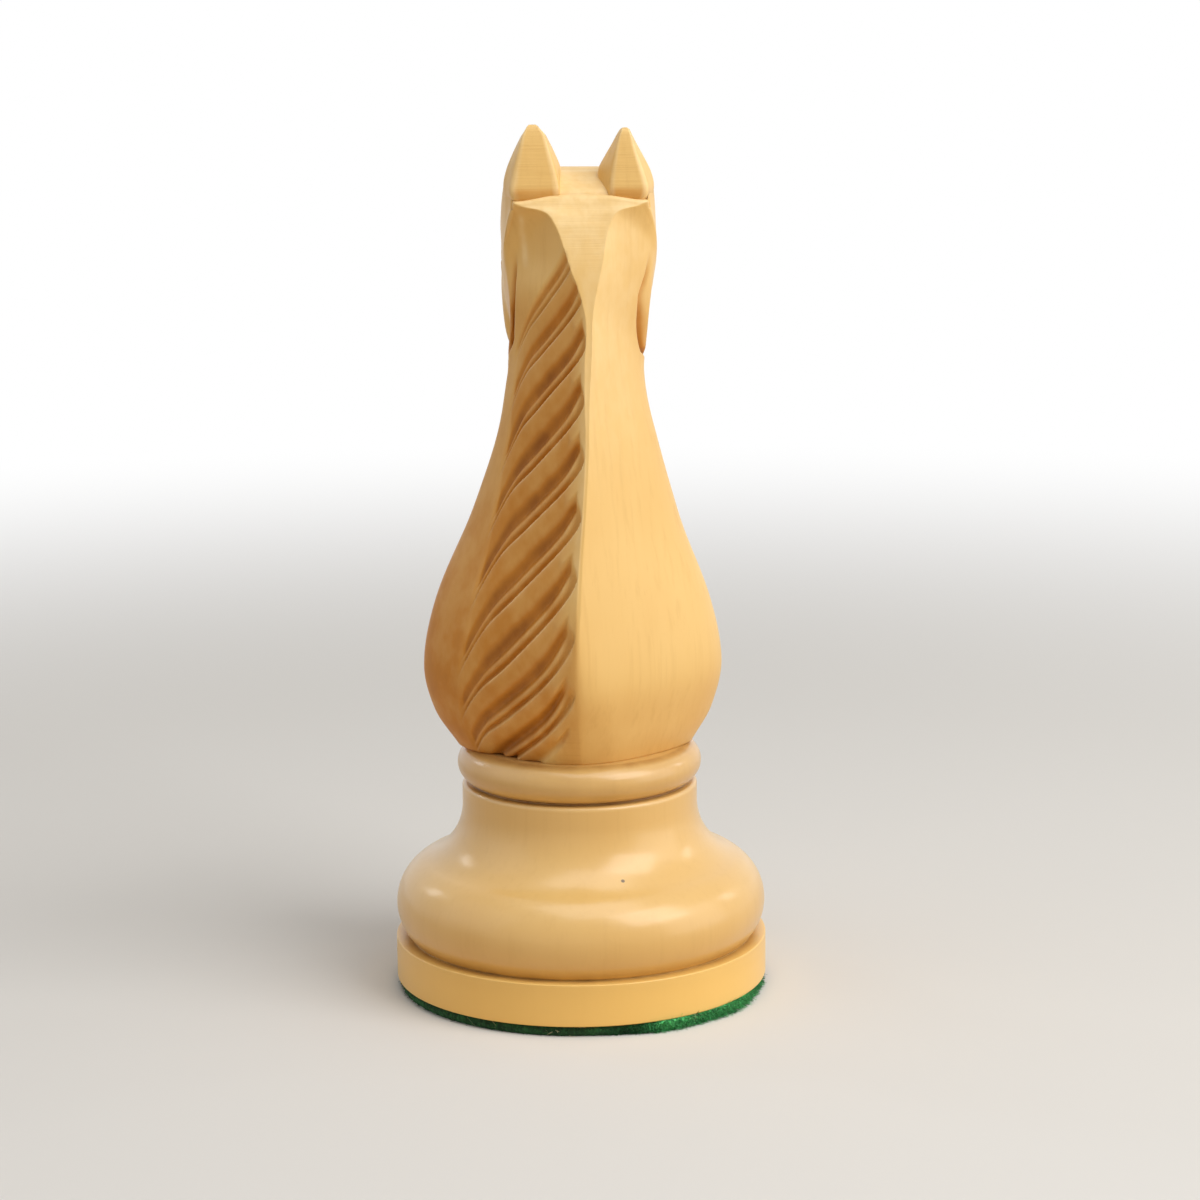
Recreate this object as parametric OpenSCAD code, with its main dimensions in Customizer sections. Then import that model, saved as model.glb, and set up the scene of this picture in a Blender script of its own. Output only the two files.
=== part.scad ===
// Weighted wooden chess knight: a carved horse pegged and glued to a turned base,
// with a metal slug sealed inside the base and a felt pad under it.
// The horse faces +Y, its mane falls on its left (-X), and the felt stands on z = 0.

/* [Felt] */
// Thickness of the felt pad
felt_t = 1.0; // [0.6:0.1:2]
// How far the felt is trimmed back from the plinth's edge
felt_inset = 0.15; // [0:0.05:0.6]

/* [Turned base] */
// Diameter of the plinth
plinth_d = 35.5; // [34:0.5:42]
// Height of the plinth
plinth_h = 4.0; // [3:0.1:6]
// Radius of the plinth's eased upper edge
plinth_ease = 0.3; // [0.2:0.1:0.8]
// How far the round cushion stands inside the plinth's edge
cushion_inset = 0.1; // [0:0.05:1]
// Radius of the cushion's round profile
cushion_r = 4.6; // [4:0.1:5.5]
// Height of the cushion's widest line above the plinth
cushion_rise = 3.2; // [2.5:0.1:4]
// Diameter of the neck above the cushion
neck_d = 22.4; // [20.5:0.1:23.2]
// Radius of the hollow between cushion and neck
cove_r = 6.0; // [4.5:0.1:7]
// Straight part of the neck above the hollow
neck_h = 2.0; // [1.2:0.1:3]
// Diameter over the bead under the horse
bead_d = 23.2; // [22:0.1:25]
// Radius of the bead's round profile
bead_r = 1.8; // [1.4:0.1:2.2]
// Depth that the groove under the bead is cut into the neck
groove_cut = 0.8; // [0.5:0.1:1]
// Width of the groove under the bead
groove_w = 0.2; // [0.1:0.05:0.6]

/* [Weight] */
// Diameter of the metal slug
slug_d = 20.0; // [14:0.5:22]
// Height of the metal slug
slug_h = 8.5; // [5:0.5:9]
// Thickness of the plug that seals the pocket
plug_h = 2.5; // [1.5:0.1:3]
// Gap around the slug and over it
pocket_clear = 0.15; // [0.1:0.05:0.3]

/* [Dowel] */
// Diameter of the dowel between base and horse
dowel_d = 8.0; // [5:0.5:10]
// Length of the dowel
dowel_l = 17.0; // [13:0.5:19]
// Gap around the dowel for glue
dowel_clear = 0.05; // [0.03:0.01:0.1]
// Gap left at each end of the dowel
dowel_end_gap = 0.4; // [0.2:0.1:0.8]
// Chamfer on the dowel's ends
dowel_chamfer = 0.6; // [0.3:0.1:1]

/* [Horse body] */
// Diameter of the foot that stands on the bead
foot_d = 22.4; // [20:0.2:24]
// Width of the body at its widest
body_w = 28.3; // [25:0.1:31]
// Height of the widest line above the foot
body_rise = 7.7; // [6.5:0.1:9]
// Depth from the centre to the crest at the widest line
body_back = 13.6; // [12:0.1:15]
// Depth from the centre to the chest at the widest line
body_chest = 14.9; // [13:0.1:16]
// Half width of the eased edge along the crest
crest_ease = 0.15; // [0.1:0.05:0.3]
// Width of the neck at the throat
throat_w = 12.1; // [11:0.1:13]
// Height of the throat above the foot
throat_rise = 37.4; // [35:0.1:39]
// Depth from the centre to the crest at the throat
throat_back = 9.8; // [9:0.1:11]
// Depth from the centre to the front of the neck at the throat
throat_front = 4.6; // [3.5:0.1:5.5]
// Width at the top of the neck, under the ears
poll_w = 12.6; // [11.5:0.1:13.2]
// Height of the top of the neck above the foot
poll_rise = 52.2; // [51:0.1:53]
// Depth from the centre to the back of the poll
poll_back = 6.0; // [5:0.1:7]

/* [Horse head] */
// Width over the cheeks
cheek_w = 14.5; // [13.5:0.1:15.5]
// Width over the nose
nose_w = 8.4; // [7.5:0.1:9.5]
// Length of the head from behind the poll to the lips
head_l = 26.4; // [24.5:0.1:28]
// Angle of the head below level
head_tilt = 32; // [28:1:36]
// Height of the ears above the poll
ear_h = 6.2; // [5:0.1:7]
// Distance between the ear tips
ear_span = 8.4; // [7.5:0.1:9]
// Width of an ear at its root
ear_w = 4.9; // [4:0.1:5.4]
// Diameter of the eyeball
eye_d = 2.6; // [2:0.1:3.2]

/* [Mane] */
// Depth of the cuts between the locks
mane_cut = 0.85; // [0.4:0.05:1]
// Height above the foot at which the topmost lock leaves the crest
mane_rise = 52.7; // [51:0.1:54]
// Height above the foot at which the lowest lock leaves the crest
mane_foot = 6.0; // [4:0.1:9]
// Step between the locks along the crest
lock_step = 5.22; // [4.5:0.01:6]
// Drop of a lock for each unit that it runs sideways, low on the body
lock_slope = 1.58; // [1.3:0.02:1.8]
// What is added to that drop at the top of the neck
lock_steepen = 1.15; // [0.8:0.05:1.4]

/* [Hidden] */
$fn = 96;

// Heights of the base, from the felt up
plinth_z = felt_t;
cushion_z = plinth_z + plinth_h + cushion_rise;
cushion_ring = plinth_d / 2 - cushion_inset - cushion_r;
cove_ring = neck_d / 2 + cove_r;
// The hollow's circle touches the cushion's circle
cove_z = cushion_z + sqrt(pow(cushion_r + cove_r, 2) - pow(cove_ring - cushion_ring, 2));
neck_z = cove_z + neck_h;
bead_ring = bead_d / 2 - bead_r;
bead_z = neck_z + groove_w / 2 + bead_r;
seat_z = bead_z + bead_r;

// The weight pocket opens downwards, and the slug stands on its plug
pocket_r = slug_d / 2 + pocket_clear;
slug_z = plinth_z + plug_h;
pocket_top = slug_z + slug_h + pocket_clear;

// Half of the dowel is in the base and half in the horse
socket_r = dowel_d / 2 + dowel_clear;
socket_depth = dowel_l / 2 + dowel_end_gap;

// A point of the head, in shares of its length: t along it towards the lips, u up across it
climb = poll_rise - throat_rise;
head_from = [-poll_back * 0.75, throat_rise + climb * 0.64];
function at(t, u) = head_from + head_l
    * (t * [cos(head_tilt), -sin(head_tilt)] + u * [sin(head_tilt), cos(head_tilt)]);

// Cross-sections of the horse from its foot to its lips. Each lies on a line from an under point, on the
// chest, throat and jaw, to a top point, on the crest, forehead and nose. After its place come the under
// point, the top point, half the width, half of the flat on top, how far down the widest line is,
// fullness above that line and squareness below it.
UNDER = [1, 2];
TOP = [3, 4];
WIDE = 5;
FLAT = 6;
MIDDLE = 7;
FULL = 8;
SQUARE = 9;
function section(s, under, top, wide, flat, middle, full, square) =
    [s, under.x, under.y, top.x, top.y, wide, flat, middle, full, square];
function level(h, front, back, wide, middle, full) =
    section(h, [front, h], [-back, h], wide, crest_ease, middle, full, 2);

rise = throat_rise - body_rise;
foot_r = foot_d / 2;
sections = [
    level(0, foot_r, foot_r * 0.94, foot_r, 0.5, 1.8),
    level(body_rise * 0.4, body_chest * 0.91, body_back * 0.88, foot_r * 0.34 + body_w * 0.33, 0.5, 1.7),
    level(body_rise, body_chest, body_back, body_w / 2, 0.48, 1.6),
    level(body_rise + rise * 0.2, body_chest * 0.945, body_back * 0.99, body_w * 0.461, 0.48, 1.55),
    level(body_rise + rise * 0.5, (body_chest + throat_front) * 0.505, (body_back + throat_back) * 0.52,
        (body_w + throat_w) * 0.238, 0.5, 1.45),
    section(body_rise + rise * 0.77, [throat_front * 1.26, body_rise + rise * 0.74],
        [-throat_back * 1.1, body_rise + rise * 0.79], throat_w * 0.6, crest_ease, 0.53, 1.4, 2.2),
    section(throat_rise, [throat_front * 1.04, throat_rise * 0.904], [-throat_back, throat_rise],
        throat_w * 0.525, crest_ease * 2, 0.55, 1.35, 2.4),
    section(throat_rise + climb * 0.28, [throat_front * 1.07, throat_rise * 0.914],
        [-throat_back * 0.93, throat_rise + climb * 0.29],
        throat_w * 0.525, poll_w * 0.028, 0.53, 1.3, 2.6),
    section(throat_rise + climb * 0.58, at(0.561, -0.201),
        [-(throat_back + poll_back) * 0.532, throat_rise + climb * 0.59],
        cheek_w * 0.443, poll_w * 0.12, 0.4, 1.25, 2.1),
    section(throat_rise + climb * 0.85, at(0.572, -0.189), [-poll_back * 1.15, poll_rise - climb * 0.115],
        cheek_w * 0.469, poll_w * 0.235, 0.34, 1.3, 2.1),
    section(poll_rise, at(0.583, -0.186), [-poll_back, poll_rise],
        cheek_w * 0.487, poll_w * 0.484, 0.3, 2, 2.1),
    section(poll_rise + head_l * 0.115, at(0.598, -0.18), at(-0.072, 0.277),
        cheek_w * 0.492, poll_w * 0.52, 0.28, 2.4, 2.1),
    section(poll_rise + head_l * 0.265, at(0.621, -0.17), at(0.061, 0.364),
        cheek_w * 0.492, poll_w * 0.24, 0.32, 2, 2.1),
    section(poll_rise + head_l * 0.38, at(0.644, -0.165), at(0.193, 0.367),
        cheek_w * 0.488, poll_w * 0.2, 0.34, 2.2, 2.1),
    section(poll_rise + head_l * 0.57, at(0.678, -0.159), at(0.364, 0.307),
        cheek_w * 0.452, poll_w * 0.167, 0.44, 2.2, 2.6),
    section(poll_rise + head_l * 0.76, at(0.72, -0.155), at(0.549, 0.231),
        nose_w * 0.63, nose_w * 0.2, 0.46, 2.2, 2.4),
    section(poll_rise + head_l * 0.91, at(0.761, -0.163), at(0.701, 0.163),
        nose_w / 2, nose_w * 0.167, 0.5, 2.2, 2.4),
    section(poll_rise + head_l * 1.02, at(0.803, -0.163), at(0.811, 0.11),
        nose_w / 2, nose_w * 0.155, 0.5, 2.2, 2.4),
    section(poll_rise + head_l * 1.1, at(0.841, -0.136), at(0.86, 0.068),
        nose_w * 0.393, nose_w * 0.13, 0.5, 2.2, 2.4),
    section(poll_rise + head_l * 1.14, at(0.864, -0.087), at(0.879, 0.023),
        nose_w * 0.238, nose_w * 0.083, 0.5, 2.2, 2.4)
];
lips = sections[len(sections) - 1][0];

// Which row of the table a place falls after
function row_before(s, i = 0) =
    i >= len(sections) - 2 || s < sections[i + 1][0] ? i : row_before(s, i + 1);

function slope_at(i, c) =
    let (a = max(i - 1, 0), b = min(i + 1, len(sections) - 1))
    (sections[b][c] - sections[a][c]) / (sections[b][0] - sections[a][0]);

// Value of column c at place s, on a smooth curve through the table's rows
function between(s, c) =
    let (
        i = row_before(s),
        step = sections[i + 1][0] - sections[i][0],
        t = (s - sections[i][0]) / step,
        ease = t * t * (3 - 2 * t)
    )
    sections[i][c] * (1 - ease) + sections[i + 1][c] * ease
    + step * t * (1 - t) * (slope_at(i, c) * (1 - t) - slope_at(i + 1, c) * t);

function eased(t) = let (c = min(1, max(0, t))) c * c * (3 - 2 * c);

// How far out the mane reaches, as a share of the half width, at shares of the height to the poll
mane_spread = [
    [0, 0.87], [0.06, 0.83], [0.15, 0.785], [0.29, 0.775], [0.4, 0.815], [0.52, 0.88], [0.63, 0.925]
];

// Share of a lock's drop at a share of the way out: steep at the crest and at the outer edge
function drop_share(out) = 0.06 * out + 0.94 * (0.5 - sin(asin(1 - 2 * out) / 3));

// Height on the crest of the lock that passes height h after running sideways for a length
function crest_height(h, run, turns = 6) =
    turns == 0 ? h + 1.8 * run :
    let (
        c = crest_height(h, run, turns - 1),
        upper = min(1.1, max(0, (c / poll_rise - 0.383) / 0.632))
    )
    h + run * (lock_slope + lock_steepen * upper * upper);

// How deep the mane is cut at height h and distance x from the crest, where the half width is wide
function mane_depth(h, x, wide) =
    let (
        reach = wide * lookup(h / poll_rise, mane_spread),
        out = min(1, x / reach),
        crest_h = crest_height(h, reach * drop_share(out)),
        // A wide cut ends at a crisp edge, and from there a lock slopes down to the next cut
        lead = 0.22 * exp(-pow(out / 0.13, 2)),
        groove = 0.4 - 0.14 * eased((out - 0.6) / 0.4) + lead,
        number = (mane_rise - crest_h) / lock_step + lead,
        part = number - floor(number),
        edge = groove * 1.2,
        shape = part < edge ? 0.9 - 0.9 * eased((part - groove * 0.8) / (edge - groove * 0.8))
            : 0.9 * pow((part - edge) / (1 - edge), 1.5),
        open = eased((out - 0.03) / 0.2),
        closing = (0.35 + 0.65 * eased((1 - out) / 0.45)) * eased((1 - out) * 14),
        ends = eased(number / 0.3 + 1) * eased(4 * (crest_h - mane_foot) / lock_step)
    )
    mane_cut * max(0, shape + open - 1) * closing * ends * eased(h / mane_foot * 4);

// How far the crest is dulled towards the foot
function crest_dull(h, x) =
    let (
        fade = eased(1 - h / (body_rise * 1.95)),
        near = max(0, 1 - x / (body_w * (0.021 + 0.127 * fade)))
    )
    body_back * 0.07 * fade * near * near;

// How near a place is to the edge under the ears, and how far that edge drops outwards
function at_poll(s) = exp(-pow((s - poll_rise) / (poll_w * 0.127), 2));
function poll_drop(s, x) = poll_w * 0.048 * eased((x / poll_w - 0.095) / 0.38) * at_poll(s);

// Half of a ring at place s, down from the top point: distance from the middle plane, depth and height
front_steps = 6;
function half_ring(s, flat, steps) =
    let (
        under = [between(s, UNDER[0]), between(s, UNDER[1])],
        top = [between(s, TOP[0]), between(s, TOP[1])],
        wide = between(s, WIDE),
        middle = between(s, MIDDLE),
        full = between(s, FULL),
        square = between(s, SQUARE),
        side = [for (i = [0:steps])
            let (v = pow(i / steps, 1.2))
            [middle * v, flat + (wide - flat) * (1 - pow(1 - v, full))]],
        front = [for (i = [1:front_steps])
            let (a = 90 * i / front_steps)
            [middle + (1 - middle) * pow(sin(a), 2 / square), wide * pow(cos(a), 2 / square)]]
    )
    [for (p = concat(side, front))
        let (
            q = top + (under - top) * p[0],
            rear = q.x < 0 ? 1 : 0
        )
        [p[1], q.x + rear * crest_dull(q.y, p[1]), q.y - rear * poll_drop(s, p[1])]];

// Ring of the horse at place s: down its right side from the top point, then up its left side with the mane
right_steps = 7;
left_steps = 25;
function ring(s) =
    let (
        flat = max(crest_ease, between(s, FLAT)),
        wide = between(s, WIDE),
        right = half_ring(s, flat * (1 - 0.22 * at_poll(s)), right_steps),
        left = half_ring(s, flat, left_steps)
    )
    concat(
        right,
        [for (i = [len(left) - 2:-1:0])
            let (
                p = left[i],
                // The mane ends at the poll, so the head's own side stays smooth
                hair = i < left_steps && s < poll_rise ? eased((p.x - flat) / crest_ease / 3) : 0,
                cut = hair > 0 ? hair * mane_depth(p.z, p.x, wide) * sqrt(0.5) : 0
            )
            [cut - p.x, p.y + cut, p.z]]
    );

// One closed solid through a row of rings that all have the same number of points
function centre(points) = [for (p = points) 1] * points / len(points);

module loft(rings) {
    n = len(rings[0]);
    last = (len(rings) - 1) * n;
    points = concat(
        [for (r = rings) each r],
        [centre(rings[0]), centre(rings[len(rings) - 1])]
    );
    sides = [
        for (r = [0:len(rings) - 2], i = [0:n - 1])
            let (a = r * n + i, b = r * n + (i + 1) % n)
            each [[a, b + n, b], [a, a + n, b + n]]
    ];
    foot = [for (i = [0:n - 1]) [i, (i + 1) % n, last + n]];
    lid = [for (i = [0:n - 1]) [last + (i + 1) % n, last + i, last + n + 1]];
    polyhedron(points, concat(sides, foot, lid));
}

body_rings = 100;
head_rings = 25;
module horse_form() {
    loft(concat(
        [for (r = [0:body_rings - 1]) ring(poll_rise * r / body_rings)],
        [for (r = [0:head_rings]) ring(poll_rise + (lips - poll_rise) * r / head_rings)]
    ));
}

eye_at = at(0.31, 0.174);

// A right ear, standing over the poll with a flat back and a full outer edge
module ear() {
    slab = ear_h * 0.065;
    hull() {
        translate([-ear_w * 0.44, -poll_back * 0.88, poll_rise - ear_h * 0.1])
            cube([ear_w * 0.78, ear_w * 0.9, slab]);
        translate([-ear_w * 0.45, -poll_back * 0.92, poll_rise + ear_h * 0.08])
            cube([ear_w * 0.94, ear_w * 0.92, slab]);
        translate([-ear_w * 0.29, -poll_back * 0.83, poll_rise + ear_h * 0.52])
            cube([ear_w * 0.62, ear_w * 0.58, slab]);
        translate([-slab, -poll_back * 0.7, poll_rise + ear_h - slab])
            cube([2 * slab, 2 * slab, slab]);
    }
}

module carved_horse() {
    color("burlywood")
    translate([0, 0, seat_z])
    difference() {
        union() {
            horse_form();
            for (side = [-1, 1])
                translate([side * ear_span / 2, 0, 0])
                    mirror([side < 0 ? 1 : 0, 0, 0])
                        ear();
            for (side = [-1, 1])
                translate([side * (cheek_w - eye_d) / 2, eye_at.x, eye_at.y])
                    sphere(d = eye_d);
        }
        translate([0, 0, -1])
            cylinder(r = socket_r, h = socket_depth + 1);
    }
}

function arc(centre, r, from, to, steps = 18) = [
    for (i = [0:steps])
        let (a = from + (to - from) * i / steps)
        centre + r * [cos(a), sin(a)]
];

// Half of the base's turned section, in radius and height: up the outside, then down the socket and pocket
module base_section() {
    plinth_top = plinth_z + plinth_h;
    cushion_from = -asin(cushion_rise / cushion_r);
    touch = atan2(cove_z - cushion_z, cove_ring - cushion_ring);
    cove_steps = 14;
    groove_r = neck_d / 2 - groove_cut;
    bead_from = -acos(min(1, (groove_r - bead_ring) / bead_r));
    polygon(concat(
        [[pocket_r, plinth_z], [plinth_d / 2, plinth_z]],
        arc([plinth_d / 2 - plinth_ease, plinth_top - plinth_ease], plinth_ease, 0, 90, 5),
        arc([cushion_ring, cushion_z], cushion_r, cushion_from, touch, 24),
        [for (i = [1:cove_steps]) arc([cove_ring, cove_z], cove_r, touch + 180, 180, cove_steps)[i]],
        [[neck_d / 2, neck_z], [groove_r, neck_z]],
        arc([bead_ring, bead_z], bead_r, bead_from, 90),
        [[socket_r, seat_z], [socket_r, seat_z - socket_depth], [0, seat_z - socket_depth]],
        [[0, pocket_top], [pocket_r, pocket_top]]
    ));
}

module turned_base() {
    color("burlywood")
        rotate_extrude()
            base_section();
}

module joint_dowel() {
    color("tan")
    translate([0, 0, seat_z - dowel_l / 2]) {
        cylinder(r1 = dowel_d / 2 - dowel_chamfer, r2 = dowel_d / 2, h = dowel_chamfer);
        translate([0, 0, dowel_chamfer])
            cylinder(d = dowel_d, h = dowel_l - 2 * dowel_chamfer);
        translate([0, 0, dowel_l - dowel_chamfer])
            cylinder(r1 = dowel_d / 2, r2 = dowel_d / 2 - dowel_chamfer, h = dowel_chamfer);
    }
}

module weight_slug() {
    color("dimgray")
        translate([0, 0, slug_z])
            cylinder(d = slug_d, h = slug_h);
}

module pocket_plug() {
    color("wheat")
        translate([0, 0, plinth_z])
            cylinder(d = slug_d, h = plug_h);
}

module base_felt() {
    color("seagreen")
        cylinder(r = plinth_d / 2 - felt_inset, h = felt_t);
}

carved_horse();
turned_base();
joint_dowel();
weight_slug();
pocket_plug();
base_felt();
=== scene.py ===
import math
import bpy
import numpy as np
from mathutils import Matrix, Vector, noise


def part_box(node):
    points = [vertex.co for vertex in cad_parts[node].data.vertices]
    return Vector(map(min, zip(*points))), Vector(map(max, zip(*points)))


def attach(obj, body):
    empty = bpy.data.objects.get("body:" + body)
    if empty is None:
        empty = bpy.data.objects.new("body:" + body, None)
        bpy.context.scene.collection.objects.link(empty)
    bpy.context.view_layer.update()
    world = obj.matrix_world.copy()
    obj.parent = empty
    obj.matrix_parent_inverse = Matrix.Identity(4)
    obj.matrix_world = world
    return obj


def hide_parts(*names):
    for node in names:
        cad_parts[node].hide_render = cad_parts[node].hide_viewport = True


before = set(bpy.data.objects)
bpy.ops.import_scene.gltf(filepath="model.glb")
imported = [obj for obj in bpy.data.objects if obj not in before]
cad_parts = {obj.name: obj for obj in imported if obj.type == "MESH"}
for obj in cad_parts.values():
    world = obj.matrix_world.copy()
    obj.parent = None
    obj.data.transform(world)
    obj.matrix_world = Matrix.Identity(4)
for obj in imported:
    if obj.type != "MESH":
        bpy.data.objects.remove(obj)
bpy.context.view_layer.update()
mm = 0.001  # shapes are worked out in millimetres and stored in metres
print("stage: frame loaded")


# Number helpers, for arrays and plain numbers alike
def eased(t):
    c = np.clip(t, 0.0, 1.0)
    return c * c * (3.0 - 2.0 * c)


def bell(d, width):
    return np.exp(-(d / width) ** 2)


# Smooth curve through the rows of a table, whose first column is the place
def alongTable(table, s):
    place = table[:, 0]
    last = len(place) - 1
    before = np.clip(np.searchsorted(place, s, side="right") - 1, 0, last - 1)
    low = np.maximum(np.arange(last + 1) - 1, 0)
    high = np.minimum(np.arange(last + 1) + 1, last)
    slopes = (table[high] - table[low]) / (place[high] - place[low])[:, None]
    step = (place[before + 1] - place[before])[..., None]
    t = (s - place[before])[..., None] / step
    ease = t * t * (3 - 2 * t)
    ends = table[before] * (1 - ease) + table[before + 1] * ease
    return ends + step * t * (1 - t) * (slopes[before] * (1 - t) - slopes[before + 1] * t)


# Averages a field on a ring grid with its neighbours, so that what stands out from it can be told
def softened(field, steps):
    for _ in range(steps):
        rows = np.pad(field, ((1, 1), (0, 0)), mode="edge")
        field = (2 * field + rows[:-2] + rows[2:] + np.roll(field, 1, 1) + np.roll(field, -1, 1)) / 6
    return field


def makeMesh(name, points, faces, material, masks=None):
    mesh = bpy.data.meshes.new(name)
    mesh.from_pydata((np.asarray(points) * mm).tolist(), [], faces)
    for maskName, values in (masks or {}).items():
        layer = mesh.attributes.new(maskName, "FLOAT", "POINT")
        layer.data.foreach_set("value", np.asarray(values, np.float32).ravel())
    mesh.polygons.foreach_set("use_smooth", [True] * len(mesh.polygons))
    mesh.update()
    obj = bpy.data.objects.new(name, mesh)
    bpy.context.scene.collection.objects.link(obj)
    mesh.materials.append(material)
    return obj


# Quads between closed rings that follow each other in one list of points
def ringFaces(rows, cols, first=0):
    r, c = np.meshgrid(np.arange(rows - 1), np.arange(cols), indexing="ij")
    n = (c + 1) % cols
    quads = np.stack([r * cols + c, r * cols + n, (r + 1) * cols + n, (r + 1) * cols + c], -1)
    return (quads.reshape(-1, 4) + first).tolist()


# Triangles from a closed ring to one point, the other way round at the start of a shape
def fanFaces(first, cols, centre, atStart=False):
    pairs = [(first + i, first + (i + 1) % cols) for i in range(cols)]
    return [[n, i, centre] if atStart else [i, n, centre] for i, n in pairs]


# Evens out points along the rows, whose ends stay, each by its share
def evenRows(points, passes, share=1):
    for _ in range(passes):
        even = (points[:-2] + 2 * points[1:-1] + points[2:]) / 4
        points[1:-1] += (even - points[1:-1]) * share
    return points


# Evens out points round the rings, each by its share
def evenRings(points, passes, share=1):
    for _ in range(passes):
        even = (np.roll(points, 1, 1) + 2 * points + np.roll(points, -1, 1)) / 4
        points = points + (even - points) * share
    return points


# Turned shape from a profile that begins and ends on the axis
def lathe(profile, steps):
    angles = np.linspace(0, 2 * math.pi, steps, endpoint=False)
    inner = np.asarray(profile)[1:-1]
    ring = np.stack([np.cos(angles), np.sin(angles)], -1)
    points = np.concatenate([inner[:, None, :1] * ring, np.repeat(inner[:, None, 1:2], steps, 1)], -1)
    points = points.reshape(-1, 3)
    start, end = len(points), len(points) + 1
    points = np.vstack([points, [0, 0, profile[0][1]], [0, 0, profile[-1][1]]])
    faces = ringFaces(len(inner), steps)
    faces += fanFaces(0, steps, start, True)
    faces += fanFaces((len(inner) - 1) * steps, steps, end)
    return points, faces


# Shader helpers: a value is a socket to link or a constant to set
def setInputs(tree, node, values):
    for key, value in values.items():
        if isinstance(value, bpy.types.NodeSocket):
            tree.links.new(value, node.inputs[key])
        else:
            node.inputs[key].default_value = value


def put(tree, kind, values=None, **settings):
    node = tree.nodes.new(kind)
    for key, value in settings.items():
        setattr(node, key, value)
    setInputs(tree, node, values or {})
    return node


def calc(tree, operation, a, b=0.0, c=0.0, clamp=False):
    node = put(tree, "ShaderNodeMath", {0: a, 1: b, 2: c}, operation=operation, use_clamp=clamp)
    return node.outputs[0]


def mixColours(tree, share, a, b, mode="MIX"):
    node = put(tree, "ShaderNodeMix", {0: share, 6: a, 7: b}, data_type="RGBA", blend_type=mode)
    return node.outputs[2]


def spread(tree, value, low, high, to=(0.0, 1.0)):
    values = {0: value, 1: low, 2: high, 3: to[0], 4: to[1]}
    return put(tree, "ShaderNodeMapRange", values, interpolation_type="SMOOTHSTEP").outputs[0]


# Noise stretched by a scale for each axis, in turns per metre
def grainNoise(tree, scale, detail=3.0, roughness=0.55):
    where = put(tree, "ShaderNodeTexCoord").outputs["Object"]
    placed = put(tree, "ShaderNodeMapping", {"Vector": where, "Scale": scale}).outputs[0]
    values = {"Vector": placed, "Scale": 1.0, "Detail": detail, "Roughness": roughness}
    return put(tree, "ShaderNodeTexNoise", values).outputs["Fac"]


def mask(tree, name):
    return put(tree, "ShaderNodeAttribute", attribute_name=name).outputs["Fac"]


# Bump from a height, with its strength and its distance in metres
def bumped(tree, height, bump):
    values = {"Strength": bump[0], "Distance": bump[1], "Height": height}
    return put(tree, "ShaderNodeBump", values).outputs[0]


def newGroup(name, inputs, outputs):
    group = bpy.data.node_groups.new(name, "ShaderNodeTree")
    for label, kind, value in inputs:
        socket = group.interface.new_socket(label, in_out="INPUT", socket_type=kind)
        socket.default_value = value
    for label, kind in outputs:
        group.interface.new_socket(label, in_out="OUTPUT", socket_type=kind)
    return group, group.nodes.new("NodeGroupInput").outputs, group.nodes.new("NodeGroupOutput").inputs


def groupNode(tree, group, values):
    return put(tree, "ShaderNodeGroup", values, node_tree=group).outputs


def newMaterial(name):
    material = bpy.data.materials.new(name)
    material.use_nodes = True
    tree = material.node_tree
    tree.nodes.clear()
    shader = tree.nodes.new("ShaderNodeBsdfPrincipled")
    out = tree.nodes.new("ShaderNodeOutputMaterial")
    tree.links.new(shader.outputs[0], out.inputs[0])
    return material, tree, shader


# Grain that runs up the piece: long streaks, fine fibres and cloudy patches
def makeWoodFigure():
    colour, number = "NodeSocketColor", "NodeSocketFloat"
    group, given, made = newGroup(
        "woodFigure",
        [("Pale", colour, (0.8, 0.6, 0.3, 1)), ("Warm", colour, (0.7, 0.5, 0.2, 1)),
         ("Deep", colour, (0.5, 0.3, 0.1, 1)), ("Streaks", number, 0.5)],
        [("Colour", colour), ("Fibre", number)])
    broad = spread(group, grainNoise(group, (240, 240, 16), 3.0), 0.35, 0.68)
    fine = grainNoise(group, (1500, 1500, 55), 4.0, 0.6)
    cloudy = spread(group, grainNoise(group, (70, 70, 45), 2.0), 0.3, 0.75)
    pores = spread(group, grainNoise(group, (5200, 5200, 420), 2.0), 0.66, 0.8)
    base = mixColours(group, calc(group, "MULTIPLY", cloudy, 0.55), given["Pale"], given["Warm"])
    bands = calc(group, "MULTIPLY", broad, calc(group, "MULTIPLY", given["Streaks"], 0.6))
    base = mixColours(group, bands, base, given["Warm"])
    lines = calc(group, "MULTIPLY", given["Streaks"], 0.3)
    lines = calc(group, "MULTIPLY", spread(group, fine, 0.48, 0.72), lines)
    base = mixColours(group, lines, base, given["Deep"])
    speck = calc(group, "MULTIPLY", pores, calc(group, "MULTIPLY", given["Streaks"], 0.22))
    group.links.new(mixColours(group, speck, base, given["Deep"]), made["Colour"])
    group.links.new(fine, made["Fibre"])
    return group


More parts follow.
